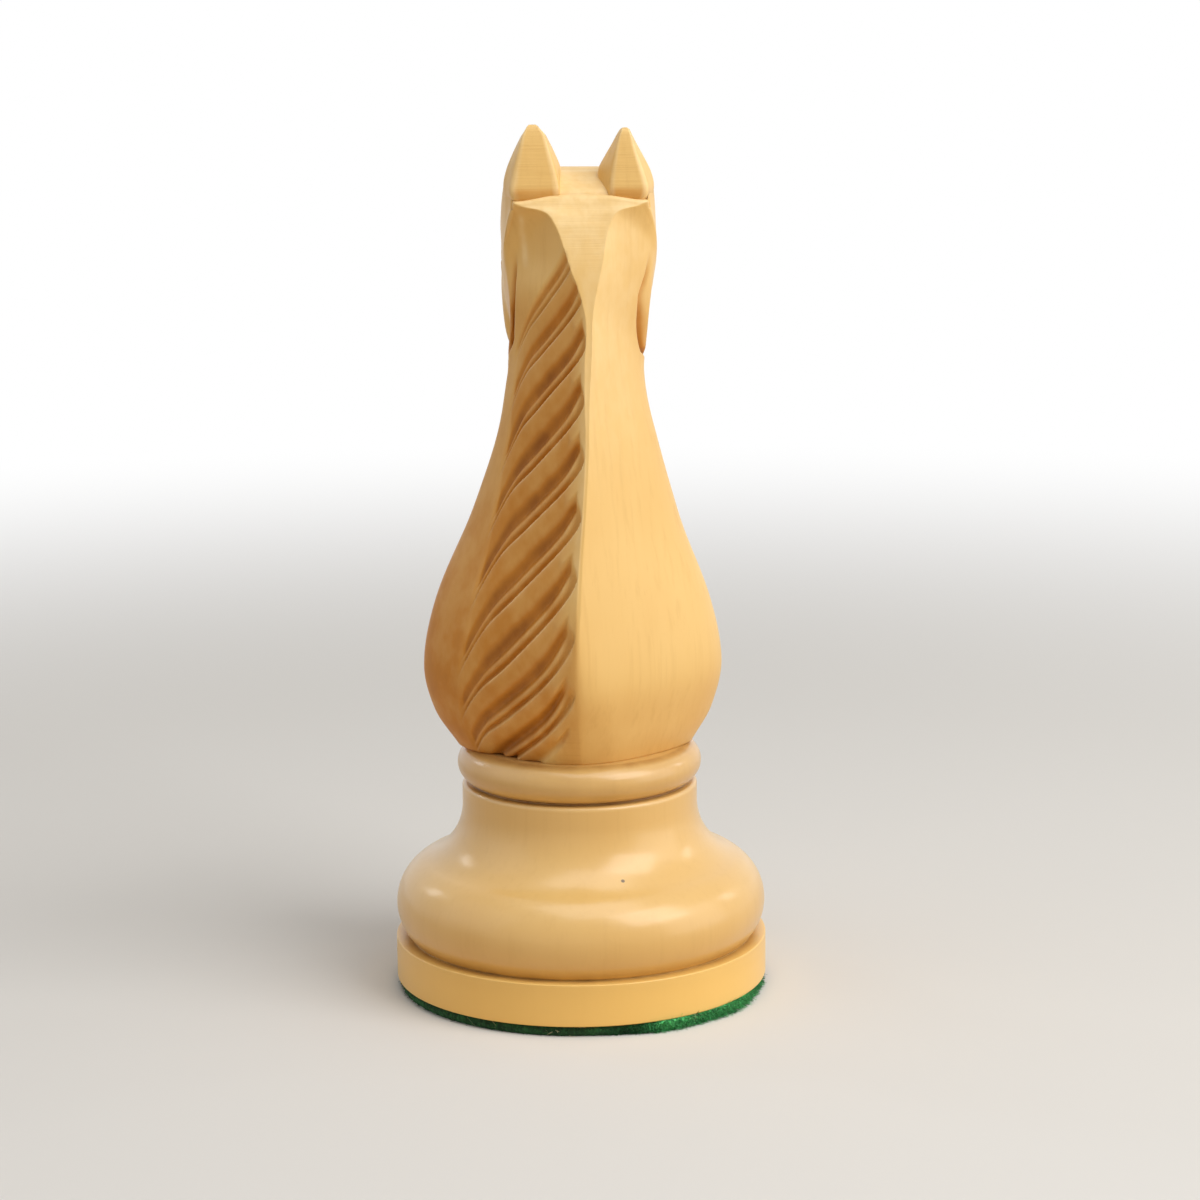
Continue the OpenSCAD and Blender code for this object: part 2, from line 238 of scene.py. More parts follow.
# Stain and painted shade that gather in hollows, and painted highlights and wear that turn edges pale
def makePaintedLightAndAge():
    colour, number = "NodeSocketColor", "NodeSocketFloat"
    group, given, made = newGroup(
        "paintedLightAndAge",
        [("Colour", colour, (0.8, 0.6, 0.3, 1)), ("StainAndShade", colour, (0.3, 0.15, 0.04, 1)),
         ("SheenAndWear", colour, (0.9, 0.7, 0.4, 1)), ("Hollow", number, 0.0), ("Edge", number, 0.0)],
        [("Colour", colour), ("Hollow", number)])
    patch = spread(group, grainNoise(group, (420, 420, 300), 3.0), 0.25, 0.75, (0.75, 1.15))
    stainAndShade = calc(group, "MULTIPLY", given["Hollow"], patch, clamp=True)
    dark = mixColours(group, stainAndShade, given["Colour"], given["StainAndShade"])
    # Past a full share a hollow darkens further: painted shade deep in the cuts
    excess = calc(group, "SUBTRACT", calc(group, "MULTIPLY", given["Hollow"], patch), 1.0, clamp=True)
    dark = mixColours(group, excess, dark, (0.5, 0.4, 0.32, 1), "MULTIPLY")
    edgeMottle = spread(group, grainNoise(group, (900, 900, 500), 2.0), 0.3, 0.7, (0.5, 1.0))
    sheenAndWear = calc(group, "MULTIPLY", given["Edge"], edgeMottle, clamp=True)
    group.links.new(mixColours(group, sheenAndWear, dark, given["SheenAndWear"]), made["Colour"])
    group.links.new(stainAndShade, made["Hollow"])
    return group


woodFigure = makeWoodFigure()
paintedLightAndAge = makePaintedLightAndAge()
lacquerIor = 1.48


# The two groups in a piece's own colours, the second with its stain, painted shade and painted highlights
# by the piece's masks
def woodColours(tree, piece):
    return groupNode(tree, woodFigure, {"Pale": piece["pale"], "Warm": piece["warm"],
                                        "Deep": piece["deep"], "Streaks": piece["streaks"]})


def agedAndLitColours(tree, piece, colour):
    return groupNode(tree, paintedLightAndAge, {"Colour": colour, "StainAndShade": piece["stainAndShade"], "SheenAndWear": piece["sheenAndWear"],
                                     "Hollow": mask(tree, "hollow"), "Edge": mask(tree, "edge")})


print("stage: shader groups made")

# Carved horse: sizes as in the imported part, heights above the bead that it stands on
horse = {
    "footD": 22.4, "bodyRise": 7.7, "bodyBack": 13.6, "bodyChest": 14.9, "crestEase": 0.15,
    "throatW": 12.1, "throatRise": 37.4, "throatBack": 9.8, "throatFront": 4.6,
    "pollW": 12.6, "pollRise": 52.2, "pollBack": 6.0,
    "cheekW": 14.5, "noseW": 8.4, "headL": 26.4, "headTilt": 32.0,
    "socketR": 4.05, "socketDepth": 8.9,
    "wobble": 0.05,  # unevenness of hand work
    "scoop": 0.45, "earNotch": 0.22,  # depths of the hollow under the left ear and the cut behind each
    "rows": (420, 26, 112),  # rings up the neck, round the poll and along the head
    "rightColumns": 90,  # points down the right side
    "leftColumns": (100, 32),  # points down the left side, as far as the mane and below it
    "pale": (0.86, 0.6, 0.235, 1), "warm": (0.79, 0.5, 0.165, 1), "deep": (0.55, 0.29, 0.07, 1),
    # Colour of stain and painted shade in the hollows, and of painted highlights and wear on the edges
    "stainAndShade": (0.58, 0.245, 0.03, 1), "sheenAndWear": (0.96, 0.76, 0.43, 1),
    "streaks": 0.4, "roughness": 0.45, "lacquer": 0.22, "lacquerRoughness": 0.3, "specular": 0.3,
    "bump": (0.22, 0.00012),
}
mane = {
    "top": 52.7, "lockStep": 5.22, "lastLock": 8.75,  # first cut's height at the crest, spacing, number
    "slope": 1.58, "steepen": 1.15,  # drop of a lock for each unit sideways, and what is added at the top
    "hook": 0.05,  # further drop at the outer end, as a share of the reach
    "cut": 0.85,  # depth of the two cuts beside each ribbon
    "ribbon": 0.4, "thinner": 0.14, "broader": 0.42,  # its share of a lock, less outside, more at the crest
    # Darkening over the whole mane, which lies on the side away from the light, and more in its cuts:
    # partly stain, partly painted shade
    "stainAndShade": 0.78, "cutStainAndShade": 0.75,
}
# How far the mane spreads over the side, as a share of the half width, by height
maneSpread = np.array([
    (0, 0.87), (3, 0.83), (8, 0.785), (15, 0.775), (21, 0.815), (27, 0.88), (33, 0.925), (52, 0.925),
])
# How far the carver let the horse lean sideways, by height
leanTable = np.array([
    (0, -0.3), (4, -0.45), (12, -0.49), (18, -0.42), (24, -0.2), (29.5, -0.06), (34, -0.07), (37, 0.06),
    (40, 0.26), (44, 0.4), (48, 0.41), (52, 0.34), (59, 0.38),
], float)
# How far the crest alone wanders from the middle plane, by height
crestTable = np.array([
    (0, 0), (5, -0.1), (11, -0.3), (19, 0), (26, 0.35), (33, 0.6), (40, 0.6), (46, 0.35), (50, 0.1),
    (59, 0),
], float)
horseLow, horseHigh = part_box("carved_horse")
seatH = horseLow.z / mm
bodyW = (horseHigh.x - horseLow.x) / mm


# Point in the side view from a place on the head: along it towards the lips, and up across it, in shares
# of its length
def headPoint(t, u):
    a = math.radians(horse["headTilt"])
    startY = -horse["pollBack"] * 0.75
    startH = horse["throatRise"] + (horse["pollRise"] - horse["throatRise"]) * 0.64
    y = startY + horse["headL"] * (t * math.cos(a) + u * math.sin(a))
    h = startH + horse["headL"] * (u * math.cos(a) - t * math.sin(a))
    return y, h


# The other way round: the place on the head from a point in the side view
def headShares(y, h):
    a = math.radians(horse["headTilt"])
    y0, h0 = headPoint(0, 0)
    dy, dh = (y - y0) / horse["headL"], (h - h0) / horse["headL"]
    return dy * math.cos(a) - dh * math.sin(a), dy * math.sin(a) + dh * math.cos(a)


# Sections from the foot to the lips, each with its place, under point, top point, half width, half flat,
# the share where it is widest, how full it is above that and how square below
def horseSections():
    p = horse
    footR, bodyRise, rise = p["footD"] / 2, p["bodyRise"], p["throatRise"] - p["bodyRise"]
    throat, poll = p["throatRise"], p["pollRise"]
    climb, headL = poll - throat, p["headL"]
    back, front, chest = p["throatBack"], p["throatFront"], p["bodyChest"]
    cheek, nose, pollW, ease = p["cheekW"], p["noseW"], p["pollW"], p["crestEase"]

    def level(h, frontY, backY, wide, middle, full):
        return (h, frontY, h, -backY, h, wide, ease, middle, full, 2)

    def section(s, under, top, wide, flat, middle, full, square):
        return (s, *under, *top, wide, flat, middle, full, square)

    at = headPoint
    return np.array([
        level(0, footR, footR * 0.94, footR, 0.5, 1.8),
        level(bodyRise * 0.4, chest * 0.91, p["bodyBack"] * 0.88, footR * 0.34 + bodyW * 0.33, 0.5, 1.7),
        level(bodyRise, chest, p["bodyBack"], bodyW / 2, 0.48, 1.6),
        level(bodyRise + rise * 0.2, chest * 0.945, p["bodyBack"] * 0.99, bodyW * 0.461, 0.48, 1.55),
        level(bodyRise + rise * 0.5, (chest + front) * 0.505, (p["bodyBack"] + back) * 0.52,
              (bodyW + p["throatW"]) * 0.238, 0.5, 1.45),
        section(bodyRise + rise * 0.77, (front * 1.26, bodyRise + rise * 0.74),
                (-back * 1.1, bodyRise + rise * 0.79), p["throatW"] * 0.6, ease, 0.53, 1.4, 2.2),
        section(throat, (front * 1.04, throat * 0.904), (-back, throat),
                p["throatW"] * 0.525, ease * 2, 0.55, 1.35, 2.4),
        section(throat + climb * 0.28, (front * 1.07, throat * 0.914),
                (-back * 0.93, throat + climb * 0.29), p["throatW"] * 0.525, pollW * 0.028, 0.53, 1.3, 2.6),
        section(throat + climb * 0.58, at(0.561, -0.201),
                (-(back + p["pollBack"]) * 0.532, throat + climb * 0.59),
                cheek * 0.443, pollW * 0.12, 0.4, 1.25, 2.1),
        section(throat + climb * 0.85, at(0.572, -0.189),
                (-p["pollBack"] * 1.15, poll - climb * 0.115),
                cheek * 0.469, pollW * 0.235, 0.34, 1.3, 2.1),
        section(poll, at(0.583, -0.186), (-p["pollBack"], poll),
                cheek * 0.487, pollW * 0.484, 0.3, 2, 2.1),
        section(poll + headL * 0.115, at(0.598, -0.18), at(-0.072, 0.277),
                cheek * 0.492, pollW * 0.52, 0.28, 2.4, 2.1),
        section(poll + headL * 0.265, at(0.621, -0.17), at(0.061, 0.364),
                cheek * 0.492, pollW * 0.24, 0.32, 2, 2.1),
        section(poll + headL * 0.38, at(0.644, -0.165), at(0.193, 0.367),
                cheek * 0.488, pollW * 0.2, 0.34, 2.2, 2.1),
        section(poll + headL * 0.57, at(0.678, -0.159), at(0.364, 0.307),
                cheek * 0.452, pollW * 0.167, 0.44, 2.2, 2.6),
        section(poll + headL * 0.76, at(0.72, -0.155), at(0.549, 0.231),
                nose * 0.63, nose * 0.2, 0.46, 2.2, 2.4),
        section(poll + headL * 0.91, at(0.761, -0.163), at(0.701, 0.163),
                nose / 2, nose * 0.167, 0.5, 2.2, 2.4),
        section(poll + headL * 1.02, at(0.803, -0.163), at(0.811, 0.11),
                nose / 2, nose * 0.155, 0.5, 2.2, 2.4),
        section(poll + headL * 1.1, at(0.841, -0.136), at(0.86, 0.068),
                nose * 0.393, nose * 0.13, 0.5, 2.2, 2.4),
        section(poll + headL * 1.14, at(0.864, -0.087), at(0.879, 0.023),
                nose * 0.238, nose * 0.083, 0.5, 2.2, 2.4),
    ])


# Depth across one lock from cut to cut: a wide cut, a ribbon, a narrow cut, a crisp edge and the broad lock
lockShape = np.array([
    (-0.12, 0.72), (-0.05, 0.92), (0.0, 1.0), (0.04, 0.97), (0.09, 0.72),
    (0.14, 0.45), (0.19, 0.34), (0.23, 0.42), (0.28, 0.7),
    (0.315, 0.82), (0.345, 0.62), (0.37, 0.06), (0.39, 0.0),
    (0.45, 0.02), (0.6, 0.16), (0.75, 0.36), (0.88, 0.72), (0.95, 0.92), (1.0, 1.0), (1.04, 0.97),
])
ribbonEnd = 0.37  # where the ribbon with its narrow cut ends in that shape


# Depth of the mane, its stain and painted shade, and the painted highlights on its crisp edges, at height h
# and distance x from the crest
def maneDepth(h, x, wide):
    reach = wide * np.interp(h, maneSpread[:, 0], maneSpread[:, 1])
    out = np.clip(x / reach, 0, 1)
    # Locks leave the crest steeply, lie flatter on the side and drop steeply again at their ends
    drop = reach * (0.06 * out + 0.94 * (0.5 - np.sin(np.arcsin(1 - 2 * out) / 3)))
    drop = drop + mane["hook"] * reach * eased((out - 0.76) / 0.24)
    crestH = h + 1.8 * drop
    for _ in range(6):
        upper = np.clip((crestH - 20) / 33, 0, 1.1)
        crestH = h + drop * (mane["slope"] + mane["steepen"] * upper ** 2)
    number = (mane["top"] - crestH) / mane["lockStep"]
    # The ribbon is broad at the crest and thin at the outer edge
    first = -mane["broader"] * bell(out, 0.17)
    ribbon = mane["ribbon"] - mane["thinner"] * eased((out - 0.6) / 0.4) - first
    wedge = 1 - eased((out - 0.04) / 0.16)  # at the crest the ribbon sinks into one dark hollow
    part = (number - first) - np.floor(number - first)
    inLock = ribbonEnd + (part - ribbon) / (1 - ribbon) * (1 - ribbonEnd)
    phase = np.where(part < ribbon, part / ribbon * ribbonEnd, inLock)
    shape = np.clip(alongTable(lockShape, phase)[..., 1], 0, 1)
    inRibbon = eased((0.36 - phase) / 0.02)
    shape = shape + wedge * inRibbon * np.maximum(0, 0.9 - shape)
    # The cut behind the ribbon starts off the crest, the narrow one before it close to the crest
    stages = (0, 0.33, 0.37, 0.4, 0.7, 1)
    start = np.interp(phase, stages, (0.085, 0.015, 0.015, 0.06, 0.07, 0.085))
    length = np.interp(phase, stages, (0.09, 0.05, 0.05, 0.18, 0.18, 0.09))
    opening = eased((out - start) / length)
    closing = 0.35 + 0.65 * eased((1 - out) / 0.45)
    edge = eased((1 - out) / 0.06) * eased((number - first + 0.3) / 0.3)
    edge = edge * eased((mane["lastLock"] + 0.2 - number) / 0.25)
    cut = np.maximum(0, shape - (1 - opening)) * edge
    inMane = edge * eased((out - 0.02) / 0.28)
    # Darkening in the cuts and over the whole mane: partly stain, partly painted shade
    behind = np.interp(phase, (0, 0.12, 0.24, 0.6, 0.9, 1), (1, 0.8, 0.35, 0.35, 1, 1))
    stainAndShade = mane["cutStainAndShade"] * behind * eased((cut - 0.25) / 0.6)
    stainAndShade = stainAndShade + inMane * (mane["stainAndShade"] + 0.1 * eased((out - 0.3) / 0.6))
    shallow = 0.5 + 0.5 * eased((number + 0.2) / 2.6)
    # A painted highlight along the crisp edge of each lock
    arris = bell(phase - 0.39, 0.03) * eased((out - 0.02) / 0.06) * edge * eased((1 - out) / 0.3)
    return mane["cut"] * closing * cut * shallow, stainAndShade * shallow, arris


# Distance in the side view from a smooth line through given corners, positive on its forward side
def lineDistance(y, h, corners):
    table = np.array([(i, *corner) for i, corner in enumerate(corners)], float)
    line = alongTable(table, np.linspace(0, len(corners) - 1, 8 * len(corners)))[:, 1:]
    best, ahead = np.full(y.shape, 1e9), np.zeros(y.shape)
    for (y0, h0), (y1, h1) in zip(line[:-1], line[1:]):
        dy, dh = y1 - y0, h1 - h0
        k = np.clip(((y - y0) * dy + (h - h0) * dh) / (dy * dy + dh * dh), 0, 1)
        ey, eh = y - (y0 + k * dy), h - (h0 + k * dh)
        d = np.hypot(ey, eh)
        nearer = d < best
        best = np.where(nearer, d, best)
        ahead = np.where(nearer, np.sign(dy * eh - dh * ey), ahead)
    return best * ahead


# Face: places in shares of the head's length along it and across it, sizes and depths in millimetres
face = {
    "eye": (0.31, 0.174), "eyeSize": (1.55, 1.1), "eyeSlant": (0.94, 0.34),  # cosine and sine of the slant
    "eyeball": 0.45, "eyePit": 0.6, "lid": 0.25, "brow": 0.2,
    "nostril": (0.79, 0.035), "nostrilDepth": 0.75, "nostrilRim": 0.25,
    "mouth": [(0.70, -0.10), (0.77, -0.075), (0.83, -0.06), (0.9, -0.03)], "mouthDepth": 0.45,
    "plate": (0.40, -0.01), "plateSize": (0.22, 0.19), "plateLift": 0.08,
}


# Eyes, nostrils, mouth and cheek plate, as heights over the plain head, and painted shade in the lid's
# groove, the nostrils and the mouth
def faceRelief(y, h, x, wide):
    t, u = headShares(y, h)
    size = horse["headL"]
    onSide = eased((x / wide - 0.45) / 0.25)
    a, b = (t - face["eye"][0]) * size, (u - face["eye"][1]) * size
    cos, sin = face["eyeSlant"]
    a, b = a * cos - b * sin, a * sin + b * cos
    r = np.hypot(a / face["eyeSize"][0], b / face["eyeSize"][1])
    relief = onSide * face["eyeball"] * np.sqrt(np.clip(1 - r * r, 0, 1))
    relief = relief - onSide * face["eyePit"] * bell(r, 1.6)
    relief = relief - onSide * face["lid"] * bell(r - 1.14, 0.16)
    relief = relief + onSide * face["brow"] * bell(r - 1.5, 0.22) * eased((b + 0.6) / 1.2)
    a, b = (t - face["nostril"][0]) * size, (u - face["nostril"][1]) * size
    nostril = bell(np.hypot((a + 0.5 * b) / 1.0, b / 0.75), 1.0) * eased((x / wide - 0.3) / 0.3)
    relief = relief - face["nostrilDepth"] * nostril
    relief = relief + face["nostrilRim"] * bell(np.hypot(a, b) - 1.5, 0.5) * onSide * (t > 0.6)
    corners = [(along * size, across * size) for along, across in face["mouth"]]
    lip = bell(lineDistance(t * size, u * size, corners), 0.24) * eased((t - 0.69) / 0.03)
    relief = relief - face["mouthDepth"] * lip
    a, b = t - face["plate"][0], u - face["plate"][1]
    plate = np.hypot(a / face["plateSize"][0], b / face["plateSize"][1])
    relief = relief + face["plateLift"] * eased((1.15 - plate) / 0.4) * onSide
    faceShade = np.clip(bell(r - 1.14, 0.2) * onSide + nostril + lip, 0, 1)
    headOnly = eased((t - 0.14) / 0.06)
    return relief * headOnly, faceShade * headOnly


# Rings of the plain horse from the foot to the lips, with their widths, and which columns lie where
def horseGrid():
    table = horseSections()
    poll, lips = horse["pollRise"], table[-1, 0]
    # A row close to each side of the poll keeps the edge there crisp
    row = int(np.argmin(np.abs(table[:, 0] - poll)))
    beside = []
    for other in (table[row - 1], table[row + 1]):
        beside.append(table[row] + (other - table[row]) * 0.45 / abs(other[0] - poll))
    table = np.insert(table, [row, row + 1], beside, 0)
    neckRows, pollRows, headRows = horse["rows"]
    places = np.concatenate([
        np.linspace(0, poll, neckRows, endpoint=False),
        np.linspace(poll, poll + 3, pollRows, endpoint=False),
        np.linspace(poll + 3, lips, headRows)])
    row = alongTable(table, places)
    under, top = row[:, None, 1:3], row[:, None, 3:5]
    wide, middle, full, square = (row[:, None, i] for i in (5, 7, 8, 9))
    flat = np.maximum(horse["crestEase"], row[:, None, 6])

    band = np.array([0, 0.45, 0.8, 0.95])
    turn = np.linspace(0, math.pi / 2, 31)[1:]

    def halfRing(full, sides):
        share = np.concatenate([np.zeros((len(places), len(band))), middle * sides,
                                middle + (1 - middle) * np.sin(turn) ** (2 / square)], 1)
        out = np.concatenate([flat * band, flat + (wide - flat) * (1 - (1 - sides) ** full),
                              wide * np.maximum(np.cos(turn), 0) ** (2 / square)], 1)
        line = top + (under - top) * share[..., None]
        return np.concatenate([out[..., None], line], -1)

    rightSides = np.linspace(0, 1, horse["rightColumns"])
    inMane, below = horse["leftColumns"]
    leftSides = np.concatenate([np.linspace(0, 0.7, inMane), np.linspace(0.7, 1, below)[1:]])
    # The right side is fuller under its ear, so the edge above it hardly overhangs
    fuller = (eased((places - poll + 6.5) / 5) * eased((poll + 1.5 - places) / 1.5))[:, None]
    right, left = halfRing(full + (2.3 - full) * fuller, rightSides), halfRing(full, leftSides)
    left[..., 0] *= -1
    grid = np.concatenate([right, left[:, ::-1][:, 1:-1]], 1)
    # The edge under the ears drops outwards, and between the ears the neck bends smoothly into the forehead
    x = np.abs(grid[..., 0])
    ridge = bell(places - poll, 1.6)[:, None] * eased((-0.5 - grid[..., 1]) / 3)
    grid[..., 2] -= 0.6 * eased((x - 1.2) / 4.8) * ridge
    near = np.flatnonzero(np.abs(places - poll) < 3.2)
    bent = evenRows(grid[near].copy(), 420)
    between = (eased((2.6 - x[near]) / 0.9) * (grid[near][..., 1] < 0))[..., None]
    grid[near] = grid[near] * (1 - between) + bent * between
    # The crest's edge softens towards the foot
    low = eased((15 - grid[..., 2]) / 15)
    behind = (grid[..., 1] < 0) & (places < 20)[:, None]
    soft = np.clip(1 - np.abs(grid[..., 0]) / (0.6 + 3.6 * low), 0, 1) ** 2
    grid[..., 1] += np.where(behind, 0.95 * low * soft, 0)
    rounding = low * behind * eased((3 - np.abs(grid[..., 0])) / 2)
    grid = evenRings(grid, 60, rounding[..., None])
    onBand = np.zeros(grid.shape[1])
    onBand[:len(band)] = 1
    onBand[-(len(band) - 1):] = 1
    onLeft = (np.arange(grid.shape[1]) >= right.shape[1])[None]
    return grid, places, wide, flat, onBand, onLeft


def gridNormals(grid):
    across = np.roll(grid, -1, 1) - np.roll(grid, 1, 1)
    along = np.gradient(grid, axis=0)
    normal = np.cross(across, along)
    return normal / np.maximum(np.linalg.norm(normal, axis=-1, keepdims=True), 1e-9)


# The jaw's back edge in the side view, set a little differently on each side, with a narrow slit behind it
jaw = {
    "left": [(-4.1, 48.4), (-3.7, 46.0), (-3.6, 44.4), (-3.55, 42.9), (-3.3, 41.4), (-2.8, 39.8),
             (-2.2, 38.3)],
    "right": [(-4.4, 48.4), (-4.35, 45.3), (-4.45, 44.1), (-4.5, 42.6), (-3.9, 40.2), (-2.8, 37.9),
              (-2.0, 37.3)],
    "under": [(-0.4, 36.5), (2.0, 35.3), (4.2, 34.7)],
    "slitLeft": 0.65, "slitRight": 0.4, "shade": 0.8,
}


# Depth of the slit, and painted shade in it and under the jaw
def carveJaw(y, h, onLeft, sideways):
    left, right = (lineDistance(y, h, jaw[side] + jaw["under"]) for side in ("left", "right"))
    d = np.where(onLeft, left, right)
    fade = eased((47.2 - h) / 3.6) * eased((4.4 - y) / 2.5) * sideways
    slit = np.where(d < 0, bell(d, 0.12), bell(d, 0.3)) * fade
    shade = jaw["shade"] * np.where(d > 0, bell(d - 0.3, 0.7), 0) * fade * eased((43 - h) / 2.5)
    return np.where(onLeft, jaw["slitLeft"], jaw["slitRight"]) * slit, slit + shade


# How strongly each feature of the horse is darkened, mostly with painted shade, and how far each edge or
# face of it is lightened with painted highlights and sheen
marks = {
    "jaw": 0.9, "face": 0.8, "earNotch": 0.6, "dip": 0.15, "crestShade": 0.5, "foot": 0.22,
    "rise": 0.4, "streak": 0.8, "arris": 0.45, "crest": 0.4, "pollEdge": 0.6, "sawn": 0.55, "rightSheen": 0.4,
}


# Points of the carved horse with its masks: stain and painted shade in hollows, painted highlights and
# sheen on edges, and saw marks
def carveHorse():
    grid, places, wide, flat, onBand, onLeft = horseGrid()
    normal = gridNormals(grid)
    x, y, h = np.abs(grid[..., 0]), grid[..., 1], grid[..., 2]
    body = (places < horse["pollRise"])[:, None]
    spacing = np.linalg.norm(np.gradient(grid, axis=0), axis=-1)
    roomy = np.where(y > 0, eased((spacing - 0.02) / 0.05), 1)  # rows run together at the throat
    sideways = eased((np.abs(normal[..., 0]) - 0.2) / 0.35) * roomy

    depth, lock, arris = maneDepth(h, x, wide)
    rear = onLeft & body & (normal[..., 1] < 0.25)
    hair = np.where(rear, eased((x - 0.95 * flat) / 0.35), 0)  # the flat at the top of the neck stays plain
    depth, lock, arris = depth * hair, lock * hair, arris * hair
    relief = -depth

    jawDepth, jawShade = carveJaw(y, h, onLeft, sideways)
    relief = relief - jawDepth

    # A notch behind each ear
    earFoot = np.where(~body & (h > 51), bell(y + 5.45, 0.22), 0) * eased((x - 1.9) / 0.6)
    relief = relief - horse["earNotch"] * earFoot

    # A shallow scoop under the ear on the mane's side, with a painted highlight in a streak along its outer
    # edge
    scoop = np.clip((x - flat) / np.maximum(wide - flat, 0.5), 0, 1)
    scoop = np.sin(math.pi * scoop) * eased((h - 43) / 4) * eased((52.0 - h) / 1.6) * (normal[..., 1] < 0.1)
    relief = relief - np.where(onLeft, horse["scoop"], 0.0) * scoop * body
    streak = bell(x / wide - 0.8, 0.035) * eased((h - 45.2) / 1.5) * eased((50.8 - h) / 1.2)
    streak = onLeft * body * streak

    faces, faceShade = faceRelief(y, h, x, wide)
    relief = relief + faces * roomy

    wobble = np.array([noise.noise(Vector(p) * 0.16) for p in grid.reshape(-1, 3)]).reshape(h.shape)
    relief = relief + horse["wobble"] * wobble
    relief = relief * np.where(body, eased((x - 0.1) / 0.28), 1)  # the crest itself stays a clean edge
    lift = relief - softened(relief, 26)
    points = grid + normal * relief[..., None]
    points = evenRows(points, 120, (1 - roomy[1:-1])[..., None])  # where they run together

    carved = onLeft | ~body
    # Painted shade on the mane's side, away from the light, darker towards the foot
    shadeAndFoot = np.where(onLeft & body, 1.0 - 0.6 * eased((h - 5) / 35) - 0.4 * eased((h - 40) / 6), 0)
    shadeAndFoot = shadeAndFoot * eased((x / wide - 0.6) / 0.2) * eased((7 - y) / 6.5)
    # Painted shade on a strip beside the crest, low down
    crestShade = marks["crestShade"] * eased((17 - h) / 6) * eased((3 - x) / 2)
    crestShade = np.where(onLeft & body & (y < 0), crestShade, 0)
    # The right side darker towards the foot
    foot = marks["foot"] * eased((10 - h) / 9) * (~onLeft & body)
    shadeAndFoot = np.maximum.reduce([shadeAndFoot, crestShade, foot])
    # Hollows take the stain colour: the mane's stain and painted shade, and painted shade by the jaw, in
    # the face's hollows and in the notch behind each ear
    hollow = np.maximum(lock, shadeAndFoot) + marks["jaw"] * jawShade + marks["face"] * faceShade
    hollow = np.clip(hollow + marks["earNotch"] * earFoot, 0, 2)
    blend = eased((16 - h) / 6) * eased((2.5 - x) / 1.5) * (y < 0)  # no seam in the painted shade along the crest
    hollow = hollow + (softened(hollow, 60) - hollow) * blend
    # Painted shade in small dips of the carving, and painted highlights on what stands out
    dips = np.where(carved, np.clip(-lift / 0.4, 0, 1) * marks["dip"], 0)
    hollow = np.maximum(hollow, dips) * roomy
    edge = np.where(carved, np.clip(lift / 0.35, 0, 1) * marks["rise"], 0)
    edge = edge * eased((x - 0.3) / 0.3) * roomy
    # Painted highlights along the edge under the ears and where light wraps round the crest
    pollEdge = bell(places - horse["pollRise"], 0.12)[:, None] * eased((x - 1.9) / 0.8) * (y < -3.5)
    rounded = np.where(rear, marks["crest"] * eased((0.9 - x) / 0.6) * eased((h - 14) / 6), 0)
    rounded = rounded * (1 - np.clip(depth / 0.3, 0, 1))
    edge = np.maximum.reduce([edge, marks["streak"] * streak, marks["arris"] * arris, rounded,
                              marks["pollEdge"] * pollEdge])
    # Saw marks on the band behind the head, which also gets a painted sheen, and a painted sheen on the
    # upper right side
    sawn = onBand[None] * eased((flat - 0.3) / 1.2) * eased((h - 43.5) / 4) * (y < -1.5)
    rightSheen = marks["rightSheen"] * eased((h - 22) / 20) * eased((-2.5 - y) / 3.5) * ~onLeft
    rightSheen = rightSheen * eased((horse["pollRise"] - places) / 3)[:, None]
    edge = np.maximum.reduce([edge, marks["sawn"] * sawn, rightSheen])
    crestStrip = onLeft * body * (y < 0) * eased((2.2 - x) / 0.8)
    sawn = np.maximum(sawn, crestStrip * (eased((4.6 - h) / 1.5) + bell(h - 9.8, 0.8)))
    nearCrest = np.where(body & (normal[..., 1] < 0.25), np.clip(1 - x / wide, 0, 1) ** 2, 0)
    points[..., 0] += nearCrest * alongTable(crestTable, h)[..., 1]
    points[..., 0] += alongTable(leanTable, points[..., 2])[..., 1]
    return points, hollow, edge, sawn


# Sections of the right ear by height over the ground: inner and outer x behind, amid and in front,
# then y of each
earTable = np.array([
    (74.4, 2.6, 4.9, 2.2, 6.5, 2.6, 4.2, -4.6, -3.2, -1.0),
    (75.3, 2.05, 5.7, 1.85, 6.72, 2.4, 4.9, -5.5, -3.2, -0.65),
    (75.9, 1.95, 6.05, 1.75, 6.88, 2.4, 5.4, -5.72, -3.2, -0.7),
    (76.5, 2.0, 6.12, 1.7, 6.95, 2.4, 5.75, -5.66, -3.2, -0.85),
    (77.2, 2.15, 5.95, 1.7, 6.85, 2.4, 5.85, -5.52, -3.2, -1.05),
    (78.2, 2.5, 5.65, 1.75, 6.5, 2.45, 5.8, -5.32, -3.3, -1.4),
    (79.4, 2.95, 5.25, 2.35, 5.9, 2.8, 5.3, -5.08, -3.4, -1.9),
    (80.6, 3.38, 4.9, 3.03, 5.24, 3.23, 4.87, -4.8, -3.6, -2.5),
    (81.4, 3.62, 4.68, 3.45, 4.82, 3.6, 4.66, -4.55, -3.75, -3.0),
    (81.85, 3.82, 4.5, 3.75, 4.58, 3.82, 4.5, -4.3, -3.85, -3.4),
    (82.0, 4.0, 4.34, 3.97, 4.37, 4.0, 4.34, -4.0, -3.9, -3.8),
])


ear = {
    "rows": (48, 14), "faceSteps": 12,  # rings up to the tip and round it, points along each of six faces
    "gouge": 0.9,  # depth of the hollow in front
    "leftTaller": 0.16, "rightShorter": 0.2,
    # Painted highlights on the edges of the face behind, painted shade at its foot and in the hollow in
    # front
    "edge": 0.45, "footShade": 0.65, "gougeShade": 0.6,
}


